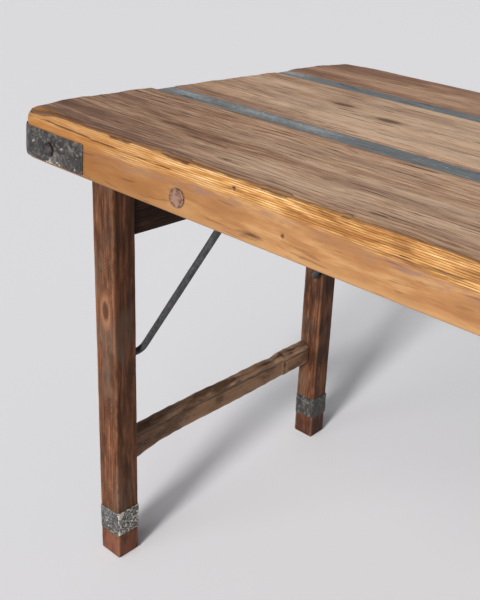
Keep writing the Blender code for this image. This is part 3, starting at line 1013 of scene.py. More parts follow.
@dataclass
class Timber(Rippled):
    """A sawn and worn timber that runs along its own X axis, centred on it."""

    name: str
    node: str
    length: float
    width: float
    height: float
    stance: Matrix
    finish: Finish
    seed: float
    rounding: float = 0.0022
    end_rounding: float = 0.0025
    spacing: float = 0.008
    steps: tuple[int, int, int, int] = (5, 4, 5, 4)
    sway: float = 0.0005
    knots: tuple[Knot, ...] = ()
    growth_depth: float = 0.04

    def corners_at(self, along: float) -> Corners:
        """Lowest across, highest across, lowest up and highest up of the section there."""
        return -self.width / 2, self.width / 2, -self.height / 2, self.height / 2

    def radius_at(self, along: float, corner: int) -> float:
        """A corner's radius there, which wear makes uneven."""
        uneven, fine = self.ripple(along * 14, corner * 5.0), self.ripple(along * 70, corner * 9.0)
        return self.rounding * max(0.55, 1 + 0.45 * uneven + 0.3 * fine)

    def shape(self, spot: Spot, edge: float) -> None:
        """Moves one spot's place for dents and relief, and sets what its finish reads.

        Args:
            spot: The spot, which changes.
            edge: How much of an edge it is.
        """
        place = spot.place
        dent = 0.00018 * (1 + self.ripple(place.x * 9, place.y * 60, place.z * 60))
        place.y *= 1 - dent / (self.width / 2)
        place.z *= 1 - dent / (self.height / 2)
        spot.wear = edge * (0.75 + 0.35 * self.ripple(place.x * 22, place.y * 9, place.z * 9))

    def growth_at(self, place: Vector) -> float:
        """The distance from the heart of the log, which draws the growth rings.

        Args:
            place: A place in the timber.

        Returns:
            The distance.
        """
        lean = self.ripple(place.x * 1.1, shift=4)
        across = place.y - self.width * 0.25 * lean
        deep = place.z - self.height / 2 - self.growth_depth - 0.03 * self.ripple(place.x * 0.8, 3)
        return math.hypot(across, deep)

    def stations(self) -> list[tuple[float, float]]:
        """Distances along the timber, each with how far the section draws in there.

        Returns:
            (distance, inset) pairs.
        """
        half = self.length / 2
        turned = []
        for i in range(4):
            turn = math.pi / 2 * (i + 0.6) / 4.6
            turned.append([self.end_rounding * (1 - part) for part in (math.sin(turn), math.cos(turn))])
        start = [(-half + out, inset) for inset, out in turned]
        stop = [(half - out, inset) for inset, out in reversed(turned)]
        body = [(along, 0.0) for along in spaced(-half + self.end_rounding * 1.3,
                                                 half - self.end_rounding * 1.3, self.spacing)]
        return start + body + stop

    def ring_at(self, along: float, inset: float) -> list[Spot]:
        """One ring of spots.

        Args:
            along: The distance along the timber.
            inset: How far the section draws in.

        Returns:
            The ring in the row frame.
        """
        low_y, high_y, low_z, high_z = self.corners_at(along)
        radii = [max(self.radius_at(along, corner) - inset * 0.5, 0.0006) for corner in range(4)]
        outline = rounded_section((low_y + inset, low_z + inset), (high_y - inset, high_z - inset), radii,
                                  self.steps)
        sway_y = self.sway * self.ripple(along * 2.2, 1.0)
        sway_z = self.sway * self.ripple(along * 2.2, 9.0)
        ring = []
        for mark in outline:
            place = Vector((along, mark.across, mark.up))
            spot = Spot(place, place)
            spot.growth = self.growth_at(place)
            for knot in self.knots:
                depth = knot.depth_at(place)
                spot.knot = max(spot.knot, depth)
                spot.growth += knot.size * 0.8 * depth ** 0.5
            self.shape(spot, max(mark.edge, 0.9 if inset > 0 else 0.0))
            place.y += sway_y
            place.z += sway_z
            spot.point = self.stance @ place
            spot.place = place + Vector((self.seed * 3.7, self.seed * 1.3, 0))
            ring.append(spot)
        return ring

    def end_cap(self, skin: Skin, ring: Sequence[int], facing_on: bool) -> None:
        """Closes one end with a ring inside its edge and a fan.

        Args:
            skin: The skin that is being made.
            ring: The end ring's indices.
            facing_on: True at the far end.
        """
        spots = [skin.spots[i] for i in ring]
        shift = Vector((self.seed * 3.7, self.seed * 1.3, 0))
        places = [spot.place - shift for spot in spots]
        centre = sum(places, Vector()) / len(spots)
        inner = []
        for spot, place in zip(spots, places):
            for axis in (1, 2):
                away = place[axis] - centre[axis]
                place[axis] = centre[axis] + math.copysign(max(abs(away) - 0.003, 0.0), away)
            inner.append(Spot(self.stance @ place, place + shift, spot.growth, spot.knot, 0.0, spot.grime))
        indices = skin.add_ring(inner)
        skin.bridge(*((ring, indices) if facing_on else (indices, ring)))
        skin.fan(indices, Spot(self.stance @ centre, centre + shift, inner[0].growth), facing_on)

    def build(self) -> Piece:
        """Makes the timber and lets it stand for its node.

        Returns:
            The piece.
        """
        skin = Skin()
        rings = [skin.add_ring(self.ring_at(along, inset)) for along, inset in self.stations()]
        skin.join(rings)
        self.end_cap(skin, rings[0], False)
        self.end_cap(skin, rings[-1], True)
        return hand_over(skin.to_object(self.name, self.finish), self.node)


def lying_stance(node: str, along_y: bool = False) -> tuple[Matrix, Vector]:
    """The place and size of a level board from its node's box.

    Args:
        node: The node.
        along_y: Whether the board's grain runs across the table.

    Returns:
        The matrix from the board's own axes to the row frame, and its length, width and height.
    """
    low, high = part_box(node)
    size = high - low
    place = Matrix.Translation((low + high) / 2)
    if along_y:
        return place @ Matrix.Rotation(math.pi / 2, 4, "Z"), Vector((size.y, size.x, size.z))
    return place, size


# ---- The top ----


@dataclass(frozen=True)
class TopOutline:
    """The rounded rectangle that the whole top fills in plan, with its worn crown."""

    half_x: float
    half_y: float
    corner: float = 0.030

    def inset(self, along: float, skin: float = 0.0) -> float:
        """How far a long side draws in near an end, on the line that runs skin inside it."""
        return skin + round_drop(self.half_x - skin - abs(along), self.corner - skin)

    def depth(self, x: float, y: float) -> float:
        """How far inside the outline a point lies.

        Args:
            x: The point's X.
            y: The point's Y.

        Returns:
            The distance, below 0 outside.
        """
        over_x = abs(x) - self.half_x + self.corner
        over_y = abs(y) - self.half_y + self.corner
        if over_x > 0 and over_y > 0:
            return self.corner - math.hypot(over_x, over_y)
        return min(self.half_x - abs(x), self.half_y - abs(y))

    def crown(self, x: float, y: float) -> tuple[float, float]:
        """The crown's breadth and height at the nearest edge.

        Args:
            x: The point's X.
            y: The point's Y.

        Returns:
            The breadth and the height.
        """
        to_end, to_side = self.half_x - abs(x), self.half_y - abs(y)
        at_end = ease(to_side - to_end, -0.02, 0.02)
        at_corner = ease(0.085 - to_end, 0.0, 0.055) * ease(0.085 - to_side, 0.0, 0.055)
        uneven = 1 + 0.13 * ripple(x * 6, y * 6, seed=2.0) + 0.05 * ripple(x * 33, y * 33)
        breadth = (0.0105 + 0.005 * at_end + 0.014 * at_corner) * uneven
        return breadth, (0.0105 - 0.0035 * at_end + 0.0085 * at_corner) * uneven

    def fall(self, x: float, y: float) -> float:
        """How far the worn crown lies below the top.

        Args:
            x: The point's X.
            y: The point's Y.

        Returns:
            The drop.
        """
        depth = self.depth(x, y)
        breadth, height = self.crown(x, y)
        reach = 1 - max(depth, 0.0) / breadth
        return height * (1 - math.sqrt(1 - reach * reach)) if reach > 0 else 0.0


@dataclass(frozen=True)
class Chip:
    """A splintered stretch of the seam between two X places."""

    low: float
    high: float
    width: float

    def share(self, along: float) -> float:
        """How deep inside the chip a place lies, from 0 to 1."""
        blend = min(0.008, (self.high - self.low) / 3)
        return ease(along, self.low, self.low + blend) * (1 - ease(along, self.high - blend, self.high))


@dataclass(frozen=True)
class Crack:
    """A long thin crack along a rail's face, between two X places and their heights."""

    low: float
    high: float
    low_height: float
    high_height: float
    width: float = 0.0011

    def share(self, along: float, height: float) -> float:
        """How deep inside the crack a place lies, from 0 to 1.

        Args:
            along: The distance along it.
            height: The height on the face.

        Returns:
            The share.
        """
        inside = ease(along, self.low, self.low + 0.01) * (1 - ease(along, self.high - 0.01, self.high))
        climb = (self.high_height - self.low_height) * (along - self.low) / (self.high - self.low)
        return inside * bell(height, self.low_height + climb + 0.0006 * ripple(along * 40), self.width)


@dataclass(frozen=True)
class RaggedSeam(Rippled):
    """The worn line where the boards meet a side rail's lip."""

    face: float
    toward: int
    seed: float
    outline: TopOutline
    chips: tuple[Chip, ...]
    lip: float = 0.0042
    gap: float = 0.0005

    def broken(self, along: float) -> float:
        """How broken the seam is there, from 0 to 1."""
        return max((chip.share(along) for chip in self.chips), default=0.0)

    def places(self, low: float, high: float, step: float) -> list[float]:
        """X places from low to high, closer together where the seam is broken.

        Args:
            low: The lowest place.
            high: The highest place.
            step: The step where the seam is sound.

        Returns:
            The places in order.
        """
        far = [x for x in spaced(low, high, step)
               if not any(chip.low - 0.003 < x < chip.high + 0.003 for chip in self.chips)]
        near = [x for chip in self.chips for x in spaced(chip.low - 0.002, chip.high + 0.002, 0.0024)]
        return sorted(far + near)

    def edge(self, along: float) -> float:
        """How far in from the face the rail's lip ends."""
        ragged = 0.0011 * self.ripple(along * 13) + 0.0008 * self.ripple(along * 60)
        return self.outline.inset(along, self.lip + ragged + 0.0006 * self.broken(along))

    def gap_at(self, along: float) -> float:
        """How wide the joint stands open there.

        Args:
            along: The distance along it.

        Returns:
            The opening.
        """
        open_by = 0.0002 * (1 + self.ripple(along * 30, shift=2))
        for chip in self.chips:
            splinter = 0.6 + 0.4 * self.ripple(along * 170) + 0.35 * ripple(along * 60, 4.0)
            open_by += chip.width * chip.share(along) * max(splinter, 0.12)
        return self.gap + open_by


@dataclass
class SideRail(Rippled):
    """A long rail: a face, a rounded crown, a ragged lip and the rebate that carries the boards."""

    side: Side
    seam: RaggedSeam
    cracks: tuple[Crack, ...] = ()
    dents: tuple[tuple[float, float, float], ...] = ()
    foot_round: float = 0.003
    spacing: float = 0.005
    crown_steps: int = 12
    gold_line: float = 0.7335
    knee: float = 0.739

    def __post_init__(self) -> None:
        """Reads the rail's box, and the height of the boards that it carries."""
        self.node = f"side_rail_{self.side.word}"
        self.seed = self.seam.seed
        self.low, self.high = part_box(self.node)
        self.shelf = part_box("plank_front")[0].z - 0.0003
        self.thick = self.high.y - self.low.y
        self.face_y = self.low.y if self.side is Side.FRONT else self.high.y

    def gold_foot(self, along: float) -> float:
        """The height where the crown's gold gives way to the face's honey colour."""
        wave = 0.004 * math.cos((along + 0.57) * TURN / 0.75)
        return self.gold_line + wave + 0.0016 * self.ripple(along * 11)

    def profile(self, along: float) -> list[tuple[float, float]]:
        """The section there, as distances in from the face and heights.

        The order is up the face, over the crown to the lip, down the joint, along the rebate, down
        the inner side and back under the rail.

        Args:
            along: The X place of the section.

        Returns:
            (distance, height) pairs.
        """
        foot, top, outline = self.low.z, self.high.z, self.seam.outline
        out = outline.inset(along)
        lip = max(self.seam.edge(along), out + 0.0004)
        face_top = top - outline.crown(along, self.face_y)[1]
        points = []
        for i in range(4):
            turn = math.pi / 2 * i / 3
            points.append((out + self.foot_round * (1 - math.sin(turn)),
                           foot + self.foot_round * (1 - math.cos(turn))))
        points += [(out, height) for height in spaced(foot + self.foot_round, self.knee, 0.0026)[1:]]
        points += [(out, self.knee + (face_top - self.knee) * i / 9) for i in range(1, 9)]
        for i in range(self.crown_steps + 1):
            inward = out + (lip - out) * (1 - math.cos(math.pi / 2 * i / self.crown_steps))
            y = self.face_y - self.side.value * inward
            points.append((inward, top - outline.fall(along, y)))
        deep, height = points.pop()
        height -= 0.0014 * self.seam.broken(along) * (1 + 0.7 * ripple(along * 120))
        points += [(deep, height), (deep + 0.0004, height - 0.003), (deep + 0.0008, self.shelf)]
        points += [(deep + (self.thick - deep) * share, self.shelf) for share in (0.35, 0.7)]
        points += [(self.thick, self.shelf + (foot - self.shelf) * share)
                   for share in (0.0, 0.33, 0.67, 1.0)]
        under = out + self.foot_round - self.thick
        return points + [(self.thick + under * share, foot) for share in (0.25, 0.5, 0.75)]

    def ring_at(self, along: float) -> list[Spot]:
        """One ring of spots round the rail.

        Args:
            along: The distance along it.

        Returns:
            The ring.
        """
        ring = []
        outline = self.seam.outline
        out, edge = outline.inset(along), self.seam.edge(along)
        broken = self.seam.broken(along)
        travelled, before = 0.0, None
        for inward, height in self.profile(along):
            if before:
                travelled += math.hypot(inward - before[0], height - before[1])
            before = (inward, height)
            on_face = 1 - ease(inward - out, 0.0005, 0.004)
            crest = ease(height, 0.747, 0.757) * (1 - ease(inward, edge + 0.0002, edge + 0.0004))
            split = on_face * max((crack.share(along, height) for crack in self.cracks), default=0.0)
            pit = on_face * max((math.exp(-(((along - x) ** 2 + (height - z) ** 2) / size**2))
                                 for x, z, size in self.dents), default=0.0)
            dent = on_face * 0.0003 * (1 + self.ripple(along * 7, height * 50)) + 0.003 * pit
            dent += crest * 0.0003 * (1 + self.ripple(along * 26, inward * 120)) + 0.001 * split
            dent += 0.0018 * on_face * ease(abs(along), 0.93, 0.99) * ease(0.712 - height, 0.0, 0.02)
            y = self.face_y - self.side.value * min(inward + dent, self.thick)
            z = height - crest * 0.0002 * (1 + self.ripple(along * 40, 5.0))
            place = Vector((along, travelled, inward * 0.3))
            spot = Spot(Vector((along, y, z)), place)
            rag = 0.0022 * self.ripple(along * 18, height * 200)
            line = self.gold_foot(along)
            spot.gilt = ease(height + rag, line - 0.0022, line + 0.0022)
            spot.shade = bell(height, line - 0.005, 0.006) * (0.75 + 0.6 * self.ripple(along * 9, shift=3))
            spot.pale = (1 - ease(height, 0.692, 0.703)) * on_face
            spot.growth = travelled + 0.0011 * self.ripple(along * 2.2)
            spot.wear = ease(along, -0.88, -0.52)
            seam = bell(inward, edge, 0.0013) * ease(height, 0.748, 0.755)
            splinter = broken * bell(inward, edge, 0.003) * ease(height, 0.746, 0.753)
            spot.grime = max(0.25 * seam, 0.85 * splinter, 1.1 * split, 1.3 * pit)
            smear = bell(along, -0.58, 0.03) * bell(height, 0.7, 0.006) * (self.side is Side.FRONT)
            spot.grime = max(spot.grime, 0.6 * smear)
            # Painted shade: the joint wall, the rebate, the inner side and the underside, all inside the
            # lip, are darkened fully.
            if height < self.high.z - 0.002 and inward > edge + 0.0001:
                spot.grime = 1.0
            ring.append(spot)
        return ring

    def stations(self) -> list[float]:
        """X places of the rings, closer together round the two ends.

        Returns:
            The places in order.
        """
        half, corner = self.high.x, self.seam.outline.corner
        near = [corner * (1 - math.cos(math.pi / 2 * i / 12)) for i in range(13)]
        body = self.seam.places(-half + corner + 0.004, half - corner - 0.004, self.spacing)
        pits = [x for along, _, size in self.dents
                for x in spaced(along - 2 * size, along + 2 * size, 0.001)]
        body = sorted([x for x in body if not any(abs(x - pit) < 0.0009 for pit in pits)] + pits)
        return [-half + step for step in near] + body + [half - step for step in reversed(near)]

    def build(self) -> Piece:
        """Makes the rail and lets it stand for its node.

        Returns:
            The piece.
        """
        skin = Skin()
        rings = [skin.add_ring(self.ring_at(along)) for along in self.stations()]
        skin.join(rings)
        skin.shut(rings)
        return hand_over(skin.to_object(f"{self.side.word}_side_rail", PINE), self.node)


@dataclass
class TopBoard(Timber):
    """A board of the top: long relief on its face, worn ends and, at the sides, a ragged seam."""

    outline: TopOutline | None = None
    seam: RaggedSeam | None = None
    redness: float = 0.0
    relief: float = 0.00045
    shortened: float = 0.0
    mauve: float = 0.0
    # How much lighter the boards grow towards the middle of the table: partly their own tone, partly
    # painted sheen.
    bleach: float = 0.8

    def corners_at(self, along: float) -> Corners:
        """The section's corners, which a ragged seam moves.

        Args:
            along: The distance along it.

        Returns:
            The four limits.
        """
        low_y, high_y, low_z, high_z = super().corners_at(along)
        if self.seam:
            inward = self.seam.edge(along) + self.seam.gap_at(along)
            edge = self.seam.face + self.seam.toward * inward - self.stance.translation.y
            low_y, high_y = (edge, high_y) if self.seam.toward > 0 else (low_y, edge)
        return low_y, high_y, low_z, high_z

    def stations(self) -> list[tuple[float, float]]:
        """Distances along the board, closer together round its ends.

        Returns:
            (distance, inset) pairs.
        """
        half = self.length / 2
        near = [0.032 * (1 - math.cos(math.pi / 2 * i / 11)) for i in range(12)]
        spread = self.seam.places if self.seam else spaced
        body = spread(-half + 0.036, half - 0.036, self.spacing)
        spots = [-half + step for step in near] + body + [half - step for step in reversed(near)]
        return [(along, 0.0) for along in spots]

    def shape(self, spot: Spot, edge: float) -> None:
        """Lowers the face for its relief, its crown and its worn ends.

        Args:
            spot: The spot, which changes.
            edge: How much of an edge it is.
        """
        place = spot.place
        upper = ease(place.z, self.height / 2 - 0.006, self.height / 2 - 0.001)
        y = place.y + self.stance.translation.y
        long_grain = self.ripple(place.x * 2.5, place.y * 110)
        broad = self.ripple(place.x * 3, place.y * 14, shift=1)
        fall = self.relief * (0.55 + 0.45 * long_grain) + 0.0003 * (1 + broad)
        uneven = 0.004 * self.ripple(place.y * 38, 1.0) + 0.002 * ripple(place.y * 150, 2.0)
        to_end = self.length / 2 - abs(place.x)
        worn_back = (self.shortened + uneven) * ease(0.05 - to_end, 0.0, 0.03)
        worn_x = min(abs(place.x) + worn_back, self.length / 2)
        fall += self.outline.fall(worn_x, y)
        place.z -= min(fall, 0.019) * upper
        depth, to_side = self.outline.depth(place.x, y), self.outline.half_y - abs(y)
        near_seam = 0.0
        if self.seam:
            reach = 0.009 + 0.007 * ease(abs(place.x), 0.85, 0.95)
            rag = 0.004 * self.ripple(place.x * 30, place.y * 90)
            gilded = 1 - ease(depth + rag, reach * 0.6, reach * 1.35)
            spot.gilt = upper * gilded * (1 - ease(to_side, 0.026, 0.05))
            broken = self.seam.broken(place.x)
            line = self.seam.edge(place.x) + self.seam.gap_at(place.x)
            near_seam = (0.3 + 1.1 * broken) * bell(to_side, line, 0.004)
        band = (1 - ease(to_side, 0.022, 0.05)) * (0.75 + 0.5 * self.ripple(place.x * 4, 7.0))
        dark_end = ease(abs(place.x) + 0.1 * ripple(place.x * 2, place.y * 6, seed=3.0), 0.62, 1.0)
        spot.shade = min(max(band if self.seam else 0.0, 0.55 * dark_end) + self.mauve, 1.0)
        # Lighter towards the middle of the table: partly the boards' own tone, partly painted sheen.
        spot.shade -= self.bleach * ease(place.x, -0.9, -0.1)
        # Painted shade in the gaps: each board's sides below its top, and the front top edge of each board,
        # are darkened. The ragged seam is darkened as a joint.
        spot.grime = near_seam + (1.0 if self.seam else 0.6) * (1 - upper)
        gap_edge_shade = 0.8 * edge * edge * (place.y < 0)
        spot.grime += (0.25 * (1 - ease(to_end, 0.0, 0.006)) + gap_edge_shade * ease(to_end, 0.01, 0.02)) * upper
        spot.wear = edge * upper * 0.3 * ease(to_side, 0.03, 0.06)
        spot.pale = self.redness


@dataclass
class PaintedStrip(TopBoard):
    """A painted strip, a little sunk between two boards and worn back at its ends."""

    pale_patches: tuple[float, ...] = ()

    def shape(self, spot: Spot, edge: float) -> None:
        """Sinks the strip's ends and lets wood and chalk through.

        Args:
            spot: The spot, which changes.
            edge: How much of an edge it is.
        """
        super().shape(spot, edge)
        place = spot.place
        upper = ease(place.z, self.height / 2 - 0.009, self.height / 2 - 0.004)
        to_end = self.length / 2 - abs(place.x)
        place.z -= 0.0018 * (1 - ease(to_end, 0.0, 0.03)) * upper
        side = self.width / 2 - abs(place.y)
        spot.wear = upper * (0.8 * bell(side, 0.0, 0.002) + 0.35 * bell(to_end, 0.0, 0.012))
        # Painted shade on the strip's sides below its top, in the gaps; a dark line runs just inside each
        # edge.
        spot.grime = 0.5 * (1 - upper) + 0.35 * bell(side, 0.004, 0.002) * upper
        spot.pale = sum(bell(place.x, patch, 0.045) * bell(place.y, 0.006, 0.014)
                        for patch in self.pale_patches)


@dataclass
class TableTop:
    """The boards, strips and rails of the top, and the rails and battens under it."""

    board_step: float = 0.0046
    front_chips: tuple[Chip, ...] = (
        Chip(-0.822, -0.775, 0.0028), Chip(-0.732, -0.677, 0.0026), Chip(-0.578, -0.530, 0.0036),
        Chip(-0.470, -0.452, 0.0014), Chip(-0.315, -0.262, 0.0018), Chip(-0.060, -0.012, 0.0030),
        Chip(0.264, 0.300, 0.0018), Chip(0.575, 0.632, 0.0030), Chip(0.815, 0.846, 0.0016),
    )
    back_chips: tuple[Chip, ...] = (
        Chip(-0.690, -0.640, 0.0034), Chip(-0.350, -0.322, 0.0020), Chip(0.105, 0.166, 0.0038),
        Chip(0.480, 0.510, 0.0022), Chip(0.770, 0.830, 0.0032),
    )
    front_cracks: tuple[Crack, ...] = (
        Crack(-0.958, -0.845, 0.7492, 0.7458), Crack(-0.868, -0.700, 0.7452, 0.7436, 0.0005),
        Crack(-0.40, -0.30, 0.7400, 0.7385, 0.0005), Crack(0.22, 0.39, 0.7440, 0.7465),
    )
    front_dents: tuple[tuple[float, float, float], ...] = (
        (-0.535, 0.714, 0.0024), (-0.608, 0.7475, 0.0020), (0.342, 0.722, 0.0026), (0.61, 0.705, 0.0022),
    )
    back_cracks: tuple[Crack, ...] = (Crack(-0.60, -0.44, 0.7440, 0.7470),
                                      Crack(0.30, 0.36, 0.7410, 0.7400))

    def __post_init__(self) -> None:
        """Lays out the outline and the two seams from the rails' outer faces."""
        front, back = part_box("side_rail_front"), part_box("side_rail_back")
        self.outline = TopOutline(front[1].x, back[1].y)
        self.seams = {
            Side.FRONT: RaggedSeam(front[0].y, 1, 1.0, self.outline, self.front_chips),
            Side.BACK: RaggedSeam(back[1].y, -1, 2.0, self.outline, self.back_chips),
        }

    def board(self, node: str, kind: type[TopBoard], finish: Finish, seed: float, **more: object) -> None:
        """Builds one board of the top.

        Args:
            node: Its node, whose name it takes.
            kind: Its class.
            finish: Its finish.
            seed: Its own pattern.
            more: Further fields.
        """
        stance, size = lying_stance(node)
        across = max(6, round(size.y / self.board_step))
        kind(node + "_worn", node, size.x, size.y, size.z, stance, finish, seed, rounding=0.0013,
             spacing=0.01, steps=(3, 3, across, 3), sway=0.0, outline=self.outline, **more).build()

    def build_boards(self) -> None:
        """Makes the three boards and the two painted strips."""
        self.board("plank_front", TopBoard, PLANK, 3.0, seam=self.seams[Side.FRONT], mauve=0.0,
                   knots=(Knot(-0.19, 0.04, 0.01, 0.008), Knot(0.52, -0.03, 0.01, 0.009)))
        self.board("plank_middle", TopBoard, PLANK, 5.0, shortened=0.008, mauve=-1.15,
                   knots=(Knot(-0.761, 0.022, 0.0125, 0.0125), Knot(-0.663, -0.005, 0.0125, 0.013),
                          Knot(0.10, 0.05, 0.0125, 0.009), Knot(0.66, -0.06, 0.0125, 0.008)))
        self.board("plank_back", TopBoard, PLANK, 8.0, seam=self.seams[Side.BACK], redness=0.5,
                   shortened=0.006, mauve=-0.1,
                   knots=(Knot(-0.50, 0.01, 0.0125, 0.011), Knot(0.31, -0.02, 0.0125, 0.007)))
        self.board("painted_strip_front", PaintedStrip, PAINT, 11.0, shortened=0.004,
                   pale_patches=(-0.93, -0.80, -0.70, -0.30, 0.36))
        self.board("painted_strip_back", PaintedStrip, PAINT, 13.0, shortened=0.006,
                   pale_patches=(-0.97, 0.2))

    def build_rails(self) -> None:
        """Makes the two side rails."""
        SideRail(Side.FRONT, self.seams[Side.FRONT], self.front_cracks, self.front_dents).build()
        SideRail(Side.BACK, self.seams[Side.BACK], self.back_cracks).build()

    def build_underside(self) -> None:
        """Makes the end rails and the cross battens."""
        bars = [(f"end_rail_{end.word}", PINE, 20.0 + i, 0.002) for i, end in enumerate(End)]
        for i, word in enumerate(("left", "middle", "right")):
            bars.append((f"batten_{word}", STAINED, 24.0 + i, 0.0025))
        for node, finish, seed, rounding in bars:
            stance, size = lying_stance(node, along_y=True)
            Timber(node + "_sawn", node, size.x, size.y, size.z, stance, finish, seed,
                   rounding=rounding, spacing=0.012).build()

    def build(self) -> None:
        """Makes the whole top."""
        self.build_boards()
        self.build_rails()
        self.build_underside()


# ---- Leg frames ----


@dataclass
class Leg(Timber):
    """A leg that hangs from its pivot: a round crown, a level foot and a battered face."""

    lean: float = 0.0
    crown: float = 0.022
    scuffs: tuple[float, ...] = ()
    # How much painted shade darkens the whole leg, more so near its foot; the back legs take it.
    soot: float = 0.0

    def stations(self) -> list[tuple[float, float]]:
        """Distances down the leg; its crown is rounded about the pivot, and its foot stays level.

        Returns:
            (distance, inset) pairs.
        """
        top, foot = -self.length / 2, self.length / 2
        turned = [self.crown * (1 - math.cos(math.pi / 2 * (i + 0.5) / 8)) for i in range(8)]
        body = spaced(top + self.crown * 1.05, foot - 0.003, self.spacing)
        ends = [(foot - 0.0016, 0.0003), (foot - 0.0006, 0.0009), (foot, 0.0018)]
        return [(top + step, 0.0) for step in turned] + [(along, 0.0) for along in body] + ends

    def corners_at(self, along: float) -> Corners:
        """The section there: its width along the table follows the round crown.

        Args:
            along: The distance along it.

        Returns:
            The four limits.
        """
        low_y, high_y, low_z, high_z = super().corners_at(along)
        down = along + self.length / 2
        if down < self.crown:
            reach = math.sqrt(max(self.crown**2 - (self.crown - down) ** 2, 1e-8))
            low_z, high_z = max(low_z, -reach), min(high_z, reach)
        return low_y, high_y, low_z, high_z

    def radius_at(self, along: float, corner: int) -> float:
        """A corner's radius, small where the crown narrows."""
        _, _, low_z, high_z = self.corners_at(along)
        return min(super().radius_at(along, corner), (high_z - low_z) * 0.45)

    def shape(self, spot: Spot, edge: float) -> None:
        """Dents the leg, levels its foot, and darkens its crown and the back legs with painted shade.

        Args:
            spot: The spot, which changes.
            edge: How much of an edge it is.
        """
        super().shape(spot, edge)
        place = spot.place
        half = self.length / 2
        chip = max(0.0, self.ripple(place.x * 38, place.y * 20, place.z * 20, shift=5) - 0.35)
        place.y *= 1 - 0.05 * chip * edge
        place.z *= 1 - 0.05 * chip * edge
        share = ease(place.x, half - 0.05, half)
        place.x -= share * (place.z * math.tan(self.lean) + 0.0003)
        to_foot = half - place.x
        spot.pale = 1 - ease(to_foot, 0.03, 0.05)
        # Painted shade: darker at the crown, under the top, and over the whole leg by its dark tone, more
        # so near the foot.
        below_crown = ease(place.x, -half + 0.02, -half + 0.3)
        spot.grime = self.soot * (1 + 0.9 * spot.pale) + 0.62 * (1 - below_crown)
        spot.grime += 0.5 * (1 - ease(to_foot, 0.0, 0.006)) + 0.2 * bell(to_foot, 0.13, 0.05) * edge
        spot.grime += 0.3 * edge * (1 - ease(to_foot, 0.03, 0.05))
        for scuff in self.scuffs:
            spot.grime += 0.5 * bell(place.x, scuff, 0.03) * (0.5 + ripple(place.x * 20, place.y * 60))


@dataclass
class Stretcher(Timber):
    """The hand-hewn bar between the legs' feet: it waves, and steps near its far end."""

    step_at: float = 0.17
    wane: float = 0.009

    def corners_at(self, along: float) -> Corners:
        """The section there, hewn unevenly and never outside the sawn size.

        Args:
            along: The distance along it.

        Returns:
            The four limits.
        """
        low_y, high_y, low_z, high_z = super().corners_at(along)
        wave = 0.0022 * (1 + self.ripple(along * 6)) + 0.0012 * (1 + self.ripple(along * 19, 2.0))
        hollow = 0.0032 * bell(along, self.step_at - 0.028, 0.02)
        low_wave = 0.0016 * (1 + self.ripple(along * 7, 6.0))
        swell = 0.0012 * (1 + self.ripple(along * 9, 12.0))
        step = 0.0034 * (1 - ease(along, self.step_at - 0.002, self.step_at + 0.002))
        flare = 0.011 * (1 - ease(along + self.length / 2, 0.0, 0.085))
        low_wave += 0.0015 * ease(along, self.step_at, self.step_at + 0.004) - flare
        return low_y + swell * 0.5 + step, high_y - swell * 0.4, low_z + low_wave, high_z - wave - hollow

    def radius_at(self, along: float, corner: int) -> float:
        """A corner's radius; the upper inner edge is hewn to a broad chamfer."""
        radius = super().radius_at(along, corner)
        return radius * (1.0 + 0.5 * self.ripple(along * 8, 7.0)) if corner >= 2 else radius

    def shape(self, spot: Spot, edge: float) -> None:
        """Adds the adze's shallow scallops.

        Args:
            spot: The spot, which changes.
            edge: How much of an edge it is.
        """
        super().shape(spot, edge)
        place = spot.place
        low_y, high_y, _, high_z = self.corners_at(place.x)
        above = place.z - high_z
        inward = (high_y - place.y) / (high_y - low_y)
        place.z -= self.wane * inward * ease(above, -0.03, -0.002)
        place.z -= 0.0004 * (1 + math.sin(place.x * 190 + 3 * self.ripple(place.x * 15)))
        spot.grime = 0.35 * ease(abs(place.x), self.length / 2 - 0.03, self.length / 2)
        spot.grime += 0.8 * bell(place.x, self.step_at, 0.003)
        crease = -0.0052 + 0.0012 * self.ripple(place.x * 22)
        spot.grime += 2.0 * bell(above, crease, 0.0018) * ease(inward, 0.8, 0.95)
        spot.grime += 0.2 * ease(above, crease, crease + 0.003)
        spot.pale = 1 - ease(above, crease - 0.001, crease + 0.001)


class BentSheet(Rippled):
    """Sheet iron bent along a path: a section up its outer face and down its inner one."""

    node: str
    ending: str
    finish: Finish
    steps_up: int

    def heights(self, foot: float, top: float) -> list[tuple[float, bool]]:
        """Heights round the section, each with whether it lies on the outer face."""
        outer = [(foot + (top - foot) * i / self.steps_up, True) for i in range(self.steps_up + 1)]
        return outer + [(top - (top - foot) * i / 3, False) for i in range(4)]

    def build(self) -> Piece:
        """Bends the sheet along its path and lets it stand for its node.

        Returns:
            The piece.
        """
        route = self.path()
        lengths = [0.0]
        for (first, _), (second, _) in zip(route, route[1:]):
            lengths.append(lengths[-1] + (second - first).length)
        skin = Skin()
        rings = [skin.add_ring(self.ring(point, out, travelled, lengths[-1] - travelled))
                 for (point, out), travelled in zip(route, lengths)]
        skin.join(rings)
        skin.shut(rings)
        return hand_over(skin.to_object(self.node + self.ending, self.finish), self.node)


